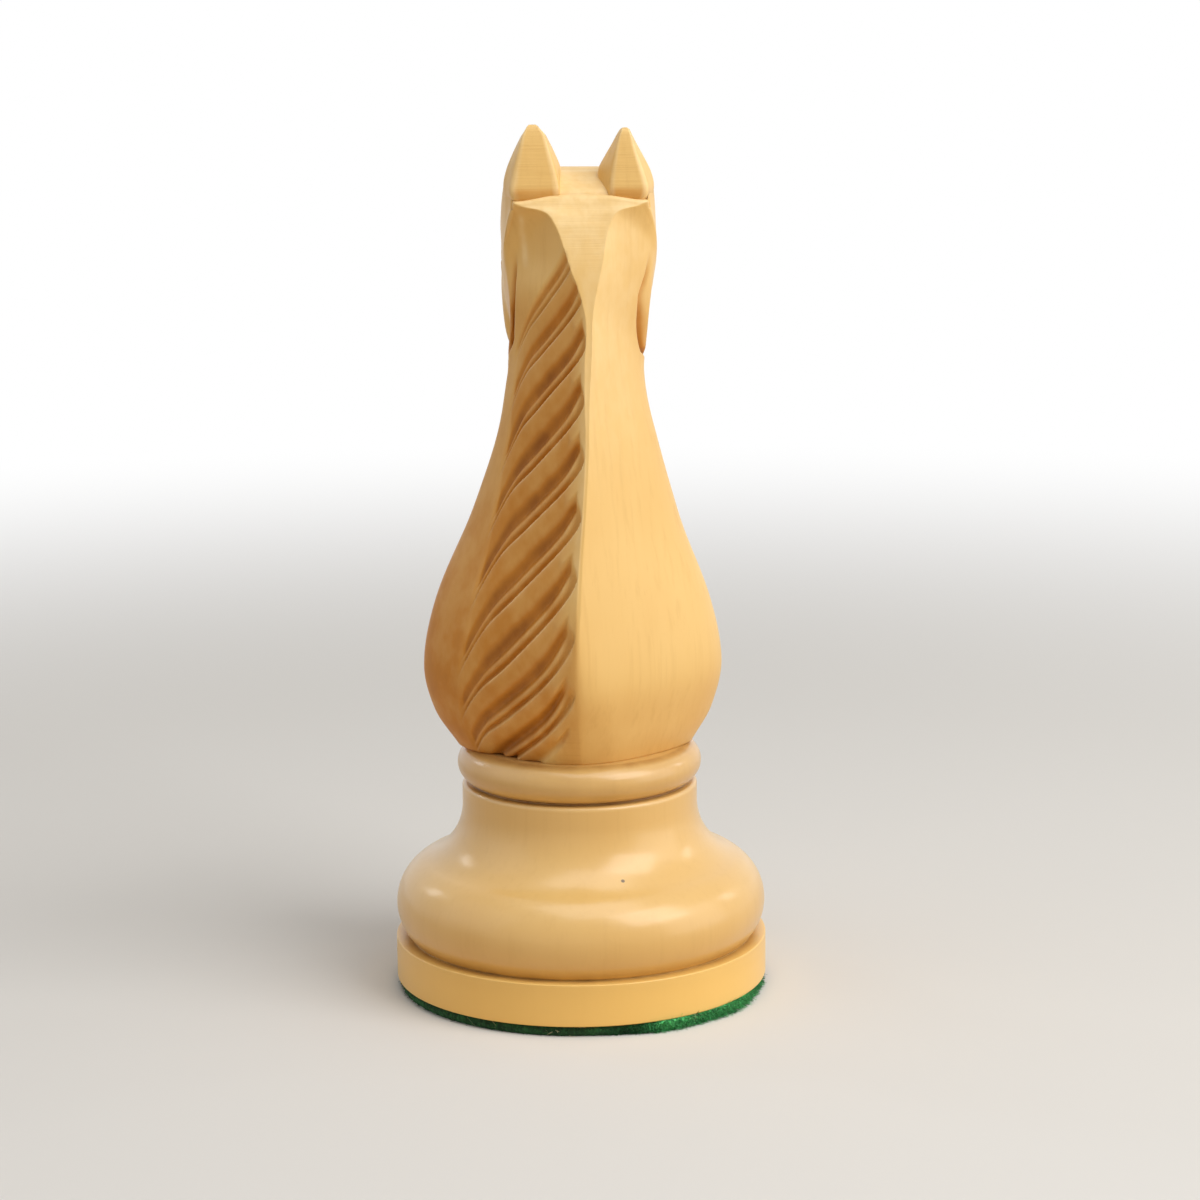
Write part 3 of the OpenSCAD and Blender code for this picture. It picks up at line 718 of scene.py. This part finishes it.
# One ear as rings up its height: flat behind, full outside, hollow in front
def carveEar(side):
    foot, nearTip, tip = earTable[0, 0], 81.2, earTable[-1, 0]
    upRows, tipRows = ear["rows"]
    z = np.concatenate([np.linspace(foot, nearTip, upRows, endpoint=False),
                        np.linspace(nearTip, tip, tipRows)])
    e = alongTable(earTable, z)
    high = eased((z - 76) / 5)
    if side < 0:  # the left ear is broader, taller and round at the tip
        full = (high * (1 - eased((z - 80.8) / 1.2)))[:, None]
        e[:, 1] -= 0.12
        e[:, 2] += 0.22
        e[:, [1, 3, 5]] -= 0.3 * full
        e[:, [2, 4, 6]] += 0.2 * full
        e[:, 1:7] += 0.03 * high[:, None]
        z = z + ear["leftTaller"] * high
    else:
        e[:, 1] += 0.7 * (1 - high) + 0.05
        z = z - ear["rightShorter"] * high
    pairs = ((1, 7), (2, 7), (4, 8), (6, 9), (5, 9), (3, 8))  # columns with x and y of each corner
    corners = np.stack([e[:, pair] for pair in pairs], 1)
    steps = ear["faceSteps"]
    k = np.linspace(0, 1, steps, endpoint=False)[None, None, :, None]
    ring = corners[:, :, None] * (1 - k) + np.roll(corners, -1, 1)[:, :, None] * k
    ring = ring.reshape(len(z), -1, 2)
    part = np.repeat(np.arange(6), steps)
    share = np.tile(k.ravel(), 6)
    # The front face is gouged hollow
    upwards = np.sin(math.pi * np.clip((z - 76) / 5.6, 0, 1))[:, None]
    hollowed = np.where(part == 3, np.sin(math.pi * share), 0) * upwards
    ring[..., 1] -= ear["gouge"] * hollowed
    ring = evenRings(ring, 2)
    points = np.concatenate([ring * (side, 1), np.repeat((z - seatH)[:, None, None], ring.shape[1], 1)], -1)
    points[..., 0] += alongTable(leanTable, points[..., 2])[..., 1]
    sawn = np.repeat(np.where(part == 0, 1.0, 0.0)[None], len(z), 0)
    # Painted highlights on the edges of the face behind, painted shade at its foot and in the gouged hollow
    corner = np.isin(part, (0, 1)) & (share < 0.1) | (part == 0) & (share > 0.9)
    edge = np.repeat(np.where(corner, ear["edge"], 0.0)[None], len(z), 0)
    low = eased((76.75 - z) / 0.6)[:, None] * np.where(part == 0, ear["footShade"], 0.0)
    low = np.maximum(low, ear["gougeShade"] * hollowed)
    if side < 0:
        points, low, edge, sawn = (field[:, ::-1] for field in (points, low, edge, sawn))
    return points, low, edge, sawn


def makeHorseWood():
    material, tree, shader = newMaterial("horseWood")
    figure, sawn = woodColours(tree, horse), mask(tree, "sawn")
    sawLine = grainNoise(tree, (110, 110, 5200), 3.0, 0.6)
    sawTint = calc(tree, "MULTIPLY", sawn, spread(tree, sawLine, 0.45, 0.75, (0.0, 0.2)))
    tinted = mixColours(tree, sawTint, figure["Colour"], horse["deep"])
    agedAndLit = agedAndLitColours(tree, horse, tinted)
    roughness = calc(tree, "MULTIPLY_ADD", figure["Fibre"], 0.12, horse["roughness"] - 0.06)
    roughness = calc(tree, "MULTIPLY_ADD", agedAndLit["Hollow"], 0.15, roughness)
    plain = calc(tree, "MULTIPLY", figure["Fibre"], calc(tree, "SUBTRACT", 1.0, sawn))
    height = calc(tree, "MULTIPLY_ADD", sawLine, calc(tree, "MULTIPLY", sawn, 1.2), plain)
    setInputs(tree, shader, {
        "Base Color": agedAndLit["Colour"], "Roughness": roughness, "Normal": bumped(tree, height, horse["bump"]),
        "Coat Weight": horse["lacquer"], "Coat Roughness": horse["lacquerRoughness"], "IOR": lacquerIor,
        "Specular IOR Level": horse["specular"]})
    return material


def buildHorse():
    points, hollow, edge, sawn = carveHorse()
    rows, cols = hollow.shape
    parts = [points.reshape(-1, 3)]
    masks = {"hollow": [hollow.ravel()], "edge": [edge.ravel()], "sawn": [sawn.ravel()]}
    faces = ringFaces(rows, cols)
    count = rows * cols

    # Lips closed with a fan, foot closed round the dowel's socket
    parts.append(points[-1].mean(0)[None])
    faces += fanFaces((rows - 1) * cols, cols, count)
    angle = np.arctan2(points[0, :, 1], points[0, :, 0])
    mouth = np.stack([horse["socketR"] * np.cos(angle), horse["socketR"] * np.sin(angle), 0 * angle], -1)
    end = mouth + [0, 0, horse["socketDepth"]]
    first = count + 1
    parts += [mouth, end, np.array([[0, 0, horse["socketDepth"]]])]
    for i in range(cols):
        n = (i + 1) % cols
        faces.append([n, i, first + i, first + n])
        faces.append([first + n, first + i, first + cols + i, first + cols + n])
    faces += fanFaces(first + cols, cols, first + 2 * cols, True)
    count = first + 2 * cols + 1
    for values in masks.values():
        values.append(np.zeros(2 * cols + 2))

    for side in (1, -1):
        earPoints, earHollow, earEdge, earSawn = carveEar(side)
        earRows, earCols = earHollow.shape
        parts += [earPoints.reshape(-1, 3), earPoints[0].mean(0)[None], earPoints[-1].mean(0)[None]]
        faces += ringFaces(earRows, earCols, count)
        low, high = count + earRows * earCols, count + earRows * earCols + 1
        faces += fanFaces(count, earCols, low, True)
        faces += fanFaces(count + (earRows - 1) * earCols, earCols, high)
        for name, values in (("hollow", earHollow), ("edge", earEdge), ("sawn", earSawn)):
            masks[name] += [values.ravel(), np.zeros(2)]
        count = high + 1

    allPoints = np.concatenate(parts) + [0, 0, seatH]
    obj = makeMesh("carvedHorse", allPoints, faces, makeHorseWood(),
                   {name: np.concatenate(values) for name, values in masks.items()})
    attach(obj, "root")
    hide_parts("carved_horse")
    print("stage: horse carved,", len(obj.data.polygons), "faces")


buildHorse()

# Turned base: plinth, cushion, hollow, neck, groove and bead
base = {
    "plinthH": 4.0, "plinthEase": 0.1, "cushionInset": 0.1, "cushionR": 4.6, "cushionRise": 3.2,
    "neckD": 22.4, "coveR": 6.0, "neckH": 2.0, "beadD": 23.2, "beadR": 1.8, "grooveCut": 0.9, "rimR": 0.4,
    "pocketR": 10.15, "pocketTop": 12.15, "socketR": 4.05, "socketDepth": 8.9,
    "pale": (0.78, 0.515, 0.185, 1), "warm": (0.71, 0.435, 0.125, 1), "deep": (0.52, 0.27, 0.06, 1),
    # Colour of painted shade in creases, in the groove and under the horse, and of painted highlights and
    # wear on edges
    "stainAndShade": (0.33, 0.145, 0.03, 1), "sheenAndWear": (0.88, 0.66, 0.36, 1),
    "plinthToneAndBounce": (0.97, 0.645, 0.19, 1),  # the plinth is golden and brighter: partly its own tone, partly painted light bounced up onto it
    "streaks": 0.25, "roughness": 0.36, "lacquer": 0.55, "lacquerRoughness": 0.18,
    "pore": (3.22, -12.9, 13.39), "poreSize": 0.22,  # a single dark pore in the cushion
    "poreColour": (0.05, 0.025, 0.012, 1),
    "bump": (0.08, 0.0001), "steps": 240,
}


def makeBaseWood():
    material, tree, shader = newMaterial("baseWood")
    figure = woodColours(tree, base)
    where = put(tree, "ShaderNodeTexCoord").outputs["Object"]
    centre, size = [v * mm for v in base["pore"]], base["poreSize"] * mm
    pore = put(tree, "ShaderNodeVectorMath", {0: where, 1: centre}, operation="DISTANCE")
    inPore = spread(tree, pore.outputs["Value"], 0.6 * size, size, (0.85, 0.0))
    dotted = mixColours(tree, inPore, figure["Colour"], base["poreColour"])
    gloss = mask(tree, "gloss")
    onPlinth = spread(tree, gloss, 0.4, 0.6, (0.8, 0.0))
    agedAndLit = agedAndLitColours(tree, base, mixColours(tree, onPlinth, dotted, base["plinthToneAndBounce"]))
    turning = grainNoise(tree, (25, 25, 2400), 2.0)  # fine rings left by the lathe
    roughness = calc(tree, "MULTIPLY_ADD", turning, 0.08, base["roughness"] - 0.04)
    height = calc(tree, "MULTIPLY_ADD", turning, 0.6, calc(tree, "MULTIPLY", figure["Fibre"], 0.3))
    # Less lacquer where the painted shade is deep
    dullInShade = calc(tree, "SUBTRACT", agedAndLit["Hollow"], 0.25, clamp=True)
    coat = calc(tree, "SUBTRACT", gloss, dullInShade, clamp=True)
    coat = calc(tree, "MULTIPLY", coat, base["lacquer"])
    setInputs(tree, shader, {
        "Base Color": agedAndLit["Colour"], "Roughness": roughness, "Normal": bumped(tree, height, base["bump"]),
        "Coat Weight": coat, "Coat Roughness": base["lacquerRoughness"], "IOR": lacquerIor})
    return material


def arcPoints(centre, r, start, end, steps):
    a = np.radians(np.linspace(start, end, steps))
    return [(centre[0] + r * math.cos(t), centre[1] + r * math.sin(t)) for t in a]


def buildBase():
    low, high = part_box("turned_base")
    bottom, seat, plinthR = low.z / mm, high.z / mm, (high.x - low.x) / mm / 2
    b = base
    plinthTop = bottom + b["plinthH"]
    cushionZ = plinthTop + b["cushionRise"]
    cushionRing = plinthR - b["cushionInset"] - b["cushionR"]
    neckR = b["neckD"] / 2
    coveRing = neckR + b["coveR"]
    coveZ = cushionZ + math.sqrt((b["cushionR"] + b["coveR"]) ** 2 - (coveRing - cushionRing) ** 2)
    neckZ = coveZ + b["neckH"]
    beadRing, beadZ = b["beadD"] / 2 - b["beadR"], seat - b["beadR"]
    grooveR = neckR - b["grooveCut"]
    creaseAt = -math.degrees(math.asin(b["cushionRise"] / b["cushionR"]))
    touch = math.degrees(math.atan2(coveZ - cushionZ, coveRing - cushionRing))
    beadFrom = -math.degrees(math.acos(min(1, (grooveR - beadRing) / b["beadR"])))
    ease, soft = b["plinthEase"], 0.12
    foot = arcPoints((plinthR - soft, bottom + soft), soft, -90, 0, 6)
    shoulder = arcPoints((plinthR - ease, plinthTop - ease), ease, 0, 90, 10)
    cushion = arcPoints((cushionRing, cushionZ), b["cushionR"], creaseAt, touch, 70)
    cove = arcPoints((coveRing, coveZ), b["coveR"], touch + 180, 180, 34)[1:]
    rim = arcPoints((neckR - b["rimR"], neckZ - b["rimR"]), b["rimR"], 0, 90, 9)
    bead = arcPoints((beadRing, beadZ), b["beadR"], beadFrom, 90, 48)
    wall = [(plinthR, z) for z in np.linspace(bottom + soft, plinthTop - ease, 14)[1:-1]]
    neck = [(neckR, z) for z in np.linspace(coveZ, neckZ - b["rimR"], 10)[1:-1]]
    inset = [(cushion[0][0] + k, plinthTop) for k in (0.6, 0.3, 0.12)]
    seatRing = [(b["socketR"] + k, seat) for k in (2.0, 0.1)]
    pocketR, pocketTop = b["pocketR"], b["pocketTop"]
    profile = [(0, pocketTop), (pocketR - 0.1, pocketTop), (pocketR, pocketTop - 0.1),
               (pocketR, bottom + 0.1), (pocketR + 0.1, bottom)]
    profile += foot + wall + shoulder + inset + cushion + cove + neck + rim + [(grooveR, neckZ)] + bead
    profile += seatRing + [(b["socketR"], seat - 0.1), (b["socketR"], seat - b["socketDepth"]),
                           (0, seat - b["socketDepth"])]
    points, faces = lathe(profile, b["steps"])
    z, r = points[:, 2], np.hypot(points[:, 0], points[:, 1])
    # Painted shade in the crease round the cushion, in the groove under the bead, on the seat under the
    # horse and over the bead
    crease = np.hypot(r - cushion[0][0], z - plinthTop)
    groove = np.hypot(np.maximum(np.abs(r - grooveR) - 0.3, 0), z - neckZ - 0.08)
    underHorse = np.hypot(np.maximum(10.2 - r, 0), z - seat)
    onLedge = (r > plinthR - 2.2) & (r < plinthR - 0.25) & (z < plinthTop + 0.1)
    hollow = 0.6 * bell(crease, np.where(onLedge, 0.9, 0.3)) + 0.95 * bell(groove, 0.2)
    hollow = np.clip(hollow + 0.7 * bell(underHorse, 0.35), 0, 1)
    hollow = np.maximum(hollow, 0.25 * bell(crease, 1.3))
    hollow = np.maximum(hollow, 0.22 * eased((z - neckZ) / 0.5))
    # A painted highlight on the neck's rim, and the plinth's top edge a little paler
    edgeSheenAndWear = np.maximum(0.05 * bell(np.hypot(r - plinthR + 0.1, z - plinthTop + 0.1), 0.25),
                        0.2 * bell(np.hypot(r - neckR + 0.1, z - neckZ + 0.1), 0.25))
    gloss = 0.4 + 0.6 * eased((z - plinthTop) / 1.5)
    masks = {"hollow": hollow, "edge": edgeSheenAndWear, "gloss": gloss}
    obj = makeMesh("turnedBase", points, faces, makeBaseWood(), masks)
    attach(obj, "root")
    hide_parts("turned_base")
    print("stage: base turned")


buildBase()

# Felt pad with a ragged cut edge, trimmed close except where it has come loose
felt = {
    "ragged": 0.2, "tufted": 0.2, "fibres": 12000, "fibreLength": (0.15, 0.85), "fibreThick": 0.026,
    "looseShare": 0.72,  # how many of the fibres are set in the loose part of the edge
    "lint": 16, "crossed": 3, "tuft": 40,  # pale threads, those of them that cross, those in the tuft
    "looseFrom": -86.0, "looseTo": 4.0,  # degrees round the axis, from the piece's right side
    "tuftAt": -57.0, "crossAt": -102.0,  # degrees where the tuft and the crossed threads are caught
    "trim": 0.22, "under": 0.25,  # how far the edge is cut back, and how far more at the right side
    "loose": 0.16,  # how far it stands out where it has come loose
    "dark": (0.005, 0.024, 0.009, 1), "green": (0.025, 0.24, 0.07, 1), "bright": (0.155, 0.85, 0.29, 1),
    "lintColour": (0.66, 0.62, 0.42, 1), "roughness": 0.95, "sheen": 0.22, "sheenRoughness": 0.5,
    "bump": (0.8, 0.0002), "steps": 1300, "seed": 11,
}


def looseness(angle):
    degrees = np.degrees(angle)
    share = eased((degrees - felt["looseFrom"]) / 22) * eased((felt["looseTo"] - degrees) / 20)
    return share * (0.88 + 0.12 * np.sin(degrees * 0.19 + 2.2))


# How far the loose edge stands out; towards the right side it stays under the wood
def standing(angle):
    degrees = np.degrees(angle)
    free = looseness(angle) * eased((-10 - degrees) / 34)
    under = felt["under"] * eased((degrees + 50) / 30) * eased((60 - degrees) / 40)
    return felt["loose"] * free - felt["trim"] * (1 - free) - under


def makeFeltWool():
    material, tree, shader = newMaterial("feltWool")
    matted = spread(tree, grainNoise(tree, (900, 900, 900), 4.0, 0.65), 0.3, 0.7)
    fuzz = grainNoise(tree, (3800, 3800, 2600), 3.0, 0.7)
    colour = mixColours(tree, matted, felt["dark"], felt["green"])
    colour = mixColours(tree, spread(tree, fuzz, 0.5, 0.75, (0.0, 0.5)), colour, felt["bright"])
    # Painted shade where the felt is trimmed back under the plinth, and painted light on the loose fringe
    # at the right
    tint = mask(tree, "tint")
    colour = mixColours(tree, spread(tree, tint, 0.05, 0.5, (0.75, 0.0)), colour, felt["dark"])
    litFringe = spread(tree, fuzz, 0.33, 0.56, (0.3, 1.0))
    litFringe = calc(tree, "MULTIPLY", spread(tree, tint, 0.3, 0.9), litFringe)
    colour = mixColours(tree, litFringe, colour, felt["bright"])
    colour = mixColours(tree, spread(tree, tint, 1.4, 1.6), colour, felt["lintColour"])
    setInputs(tree, shader, {
        "Base Color": colour, "Roughness": felt["roughness"], "Normal": bumped(tree, fuzz, felt["bump"]),
        "Sheen Weight": felt["sheen"], "Sheen Roughness": felt["sheenRoughness"],
        "Sheen Tint": felt["bright"]})
    return material


# Thin bent tubes of three sides, one for each loose fibre
def fibreMesh(starts, heads, lengths, thick, sag, tints, rng):
    steps = np.linspace(0, 1, 5)
    points, faces, values = [], [], []
    for start, head, length, dip, tint in zip(starts, heads, lengths, sag, tints):
        bend = rng.normal(0, 0.45, 3)
        along = start + np.outer(steps, head) * length + np.outer(steps ** 2, bend) * length * 0.5
        along[:, 2] = np.clip(along[:, 2] - dip * length * steps ** 2, 0.03, None)
        side = np.cross(head, (0.3, 0.2, 0.93))
        side /= max(np.linalg.norm(side), 1e-6)
        lift = np.cross(side, head)
        for k, p in enumerate(along):
            first = len(points)
            r = thick * (1 - 0.6 * steps[k])
            for a in (0, 2.094, 4.189):
                points.append(p + r * (math.cos(a) * side + math.sin(a) * lift))
            values += [tint] * 3
            if k:
                faces += [[first - 3 + i, first - 3 + (i + 1) % 3, first + (i + 1) % 3, first + i]
                          for i in range(3)]
    return points, faces, values


def buildFelt():
    low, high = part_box("base_felt")
    r, top = (high.x - low.x) / mm / 2, high.z / mm
    rng = np.random.default_rng(felt["seed"])
    rise = np.linspace(0, 1, 13)
    side = [(r - 0.08 + 0.14 * math.sin(math.pi * k), 0.06 + (top - 0.1) * k) for k in rise]
    profile = [(0, 0), (r * 0.5, 0), (r - 0.35, 0), *side, (r - 0.5, top), (r * 0.5, top), (0, top)]
    points, faces = lathe(profile, felt["steps"])
    reach = np.hypot(points[:, 0], points[:, 1])
    outer = eased((reach - r + 0.5) / 0.4)
    around = np.arctan2(points[:, 1], points[:, 0])
    free, stand = looseness(around), standing(around)
    for i, p in enumerate(points):
        if outer[i] > 0:
            ragged = noise.noise(Vector((p[0] * 0.5, p[1] * 0.5, p[2])))
            ragged = ragged + 0.7 * noise.noise(Vector(p) * 1.9)
            tufts = noise.noise(Vector(p) * 3.4) + 0.6 * noise.noise(Vector(p) * 7.3)
            shift = felt["ragged"] * ragged * (0.4 + 0.4 * free[i])
            shift += felt["tufted"] * tufts * (0.4 + 0.6 * free[i])
            shift += stand[i]
            points[i, :2] *= 1 + outer[i] * shift / reach[i]
    material = makeFeltWool()
    pad = makeMesh("feltPad", points, faces, material, {"tint": 0.85 * free})
    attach(pad, "root")
    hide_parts("base_felt")

    count = felt["fibres"]
    angle = rng.uniform(-math.pi, math.pi, count)
    inLoose = rng.uniform(math.radians(felt["looseFrom"]), math.radians(felt["looseTo"]), count)
    angle = np.where(rng.uniform(0, 1, count) < felt["looseShare"], inLoose, angle)
    lint, crossed, inTuft = felt["lint"], felt["crossed"], felt["tuft"]
    tuft = slice(lint, lint + inTuft)
    angle[:lint] = np.radians(rng.uniform(-150, -88, lint))
    angle[:crossed] = np.radians(felt["crossAt"] + rng.uniform(-1.5, 1.5, crossed))
    angle[tuft] = np.radians(rng.normal(felt["tuftAt"], 1.0, inTuft))
    free = looseness(angle)
    height = rng.uniform(0.08, top - 0.1, count)
    height[tuft] = rng.uniform(0.65, top, inTuft)
    out = np.stack([np.cos(angle), np.sin(angle), 0 * angle], -1)
    edgeR = r - 0.12 + standing(angle)
    starts = out * edgeR[:, None] + np.stack([0 * angle, 0 * angle, height], -1)
    heads = out * rng.uniform(0.2, 0.9, (count, 1)) + rng.normal(0, 0.6, (count, 3)) * (1, 1, 0.5)
    turned = np.stack([-out[:, 1], out[:, 0], 0 * angle], -1)
    heads[:lint] = heads[:lint] * 0.5 + turned[:lint] * rng.choice((-1, 1), (lint, 1))
    heads /= np.linalg.norm(heads, axis=1, keepdims=True)
    lengths = rng.uniform(*felt["fibreLength"], count) * (0.45 + 0.55 * free)
    # Fibres darker away from the loose fringe and brighter on it: painted shade and painted light
    tints = rng.uniform(0.25, 1.1, count) * (0.1 + 0.9 * free)
    tints[:lint], tints[tuft] = 2.0, 2.0
    lengths[:lint] = rng.uniform(0.5, 1.3, lint)
    lengths[tuft] = rng.uniform(0.2, 0.5, inTuft)
    sag = rng.uniform(0, 0.5, count)
    made = fibreMesh(starts, heads, lengths, felt["fibreThick"], sag, tints, rng)
    fringe = makeMesh("feltFibres", made[0], made[1], material, {"tint": made[2]})
    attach(fringe, "root")
    print("stage: felt cut, radius", round(r, 2), "mm")


buildFelt()

# Pieces inside the base: dowel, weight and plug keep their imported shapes
inside = {
    "dowel": {"pale": (0.66, 0.44, 0.26, 1), "warm": (0.56, 0.34, 0.18, 1), "deep": (0.36, 0.19, 0.09, 1),
              "streaks": 0.9, "bump": (0.3, 0.0002)},
    "plug": {"pale": (0.72, 0.56, 0.33, 1), "warm": (0.62, 0.44, 0.22, 1), "deep": (0.42, 0.25, 0.1, 1),
             "streaks": 0.9, "bump": (0.3, 0.0002)},
    "iron": {"pale": (0.09, 0.088, 0.085, 1), "rust": (0.16, 0.07, 0.03, 1), "bump": (0.5, 0.0003)},
}


def makeInsideWood(name, piece):
    material, tree, shader = newMaterial(name)
    figure = woodColours(tree, piece)
    roughness = calc(tree, "MULTIPLY_ADD", figure["Fibre"], 0.2, 0.5)
    setInputs(tree, shader, {"Base Color": figure["Colour"], "Roughness": roughness,
                             "Normal": bumped(tree, figure["Fibre"], piece["bump"])})
    return material


def makeIron(piece):
    material, tree, shader = newMaterial("castIron")
    cast = grainNoise(tree, (1200, 1200, 1200), 4.0, 0.65)
    rusty = spread(tree, grainNoise(tree, (260, 260, 260), 3.0), 0.5, 0.7, (0.0, 0.8))
    colour = mixColours(tree, rusty, piece["pale"], piece["rust"])
    roughness = calc(tree, "MULTIPLY_ADD", rusty, 0.25, 0.5)
    metal = calc(tree, "SUBTRACT", 0.9, rusty, clamp=True)
    setInputs(tree, shader, {"Base Color": colour, "Roughness": roughness, "Metallic": metal,
                             "Normal": bumped(tree, cast, piece["bump"])})
    return material


def dress(node, material):
    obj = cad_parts[node]
    obj.data.materials.clear()
    obj.data.materials.append(material)


dress("joint_dowel", makeInsideWood("dowelWood", inside["dowel"]))
dress("pocket_plug", makeInsideWood("plugWood", inside["plug"]))
dress("weight_slug", makeIron(inside["iron"]))
print("stage: inside pieces dressed")

# Studio: pale floor that turns white away from the piece, soft window at the right, pale light all round
studio = {
    "floor": (0.74, 0.73, 0.71, 1), "floorSpeck": (0.72, 0.72, 0.71, 1), "floorRoughness": 0.85,
    "bounce": (0.76, 0.57, 0.34, 1),  # the floor's colour in the light that it sends back
    "clearFrom": 0.11, "clearTo": 0.34,  # distance over which the floor turns white
    "sky": (1.0, 0.96, 0.9, 1), "fill": 0.21, "white": (1, 1, 1, 1),
    "aim": (0, 0, 0.04),  # point that the lamps face
    "lamps": [  # name, degrees from behind towards the right, degrees up, distance, size, power, colour
        ("keyWindow", 52, 43, 0.5, (0.34, 0.28), 1.33, (1.0, 0.97, 0.93)),
        ("topWindow", 20, 76, 0.55, (0.4, 0.4), 1.15, (1.0, 0.97, 0.93)),
        ("leftPane", -128, 26, 0.6, (0.08, 0.11), 0.12, (1, 1, 1)),
        ("rightPane", 112, 22, 0.6, (0.08, 0.11), 0.12, (1, 1, 1)),
        ("softLeft", -80, 30, 0.6, (0.5, 0.5), 0.36, (1, 1, 1)),
        ("softRight", 74, 15, 0.6, (0.5, 0.5), 0.95, (1, 1, 1)),
    ],
}


# Rays that meet the plain background: straight from the camera, mirrored or let through
def plainRays(tree):
    path = put(tree, "ShaderNodeLightPath").outputs
    mirrored = calc(tree, "MAXIMUM", path["Is Glossy Ray"], path["Is Transmission Ray"])
    return calc(tree, "MAXIMUM", path["Is Camera Ray"], mirrored)


def makeFloor():
    material, tree, shader = newMaterial("floorPaper")
    tone = grainNoise(tree, (40, 40, 40), 2.0)
    tone = spread(tree, tone, 0.3, 0.7, (0.0, 0.04))
    colour = mixColours(tree, tone, studio["floor"], studio["floorSpeck"])
    where = put(tree, "ShaderNodeTexCoord").outputs["Object"]
    away = put(tree, "ShaderNodeVectorMath", {0: where}, operation="LENGTH").outputs["Value"]
    seen = plainRays(tree)
    colour = mixColours(tree, seen, studio["bounce"], colour)
    setInputs(tree, shader, {"Base Color": colour, "Roughness": studio["floorRoughness"]})
    share = calc(tree, "MULTIPLY", spread(tree, away, studio["clearFrom"], studio["clearTo"]), seen)
    white = put(tree, "ShaderNodeEmission", {"Color": studio["white"], "Strength": 1.0})
    both = put(tree, "ShaderNodeMixShader", {0: share, 1: shader.outputs[0], 2: white.outputs[0]})
    out = next(node for node in tree.nodes if node.type == "OUTPUT_MATERIAL")
    tree.links.new(both.outputs[0], out.inputs[0])
    points = [(-1500, -800, 0), (1500, -800, 0), (1500, 2200, 0), (-1500, 2200, 0)]
    floor = makeMesh("floor", points, [[0, 1, 2, 3]], material)


def aimLight(name, azimuth, rise, far, size, power, colour):
    lamp = bpy.data.lights.new(name, "AREA")
    lamp.shape, lamp.size, lamp.size_y = "RECTANGLE", size[0], size[1]
    lamp.energy, lamp.color = power, colour
    obj = bpy.data.objects.new(name, lamp)
    a, e = math.radians(azimuth), math.radians(rise)
    away = Vector((math.sin(a) * math.cos(e), -math.cos(a) * math.cos(e), math.sin(e)))
    obj.location = Vector(studio["aim"]) + away * far
    obj.rotation_mode = "QUATERNION"
    obj.rotation_quaternion = (-away).to_track_quat("-Z", "Y")
    bpy.context.scene.collection.objects.link(obj)


def makeLight():
    world = bpy.data.worlds.new("studioSky")
    bpy.context.scene.world = world
    world.use_nodes = True
    tree = world.node_tree
    tree.nodes.clear()
    soft = put(tree, "ShaderNodeBackground", {"Color": studio["sky"], "Strength": studio["fill"]})
    white = put(tree, "ShaderNodeBackground", {"Color": studio["white"], "Strength": 1.0})
    shaders = {0: plainRays(tree), 1: soft.outputs[0], 2: white.outputs[0]}
    both = put(tree, "ShaderNodeMixShader", shaders)
    out = put(tree, "ShaderNodeOutputWorld")
    tree.links.new(both.outputs[0], out.inputs[0])
    for lamp in studio["lamps"]:
        aimLight(*lamp)


# Camera placed as the photograph was taken, behind the horse and a little above it
camera = {"azimuth": -3.0, "far": 309.69, "height": 100.41, "yaw": 0.39, "pitch": 0.2010936,
          "roll": 0.00940232, "lens": 100.30}


def makeCamera():
    az = math.radians(camera["azimuth"])
    place = Vector((camera["far"] * math.sin(az), -camera["far"] * math.cos(az), camera["height"]))
    yaw = math.atan2(-place.x, -place.y) + math.radians(camera["yaw"])
    pitch, roll = camera["pitch"], camera["roll"]
    ahead = Vector((math.sin(yaw) * math.cos(pitch), math.cos(yaw) * math.cos(pitch), -math.sin(pitch)))
    level = Vector((math.cos(yaw), -math.sin(yaw), 0))
    down = ahead.cross(level)
    right = level * math.cos(roll) + down * math.sin(roll)
    lower = down * math.cos(roll) - level * math.sin(roll)
    data = bpy.data.cameras.new("photoCamera")
    data.sensor_width, data.lens = 36.0, camera["lens"]
    data.clip_start, data.clip_end = 0.01, 10.0
    obj = bpy.data.objects.new("photoCamera", data)
    columns = (right, -lower, -ahead, place * mm)
    obj.matrix_world = Matrix([[*(c[i] for c in columns)] for i in range(3)] + [[0, 0, 0, 1]])
    bpy.context.scene.collection.objects.link(obj)
    bpy.context.scene.camera = obj


makeFloor()
makeLight()
makeCamera()
bpy.context.scene.view_settings.view_transform = "Standard"
print("stage: studio lit")
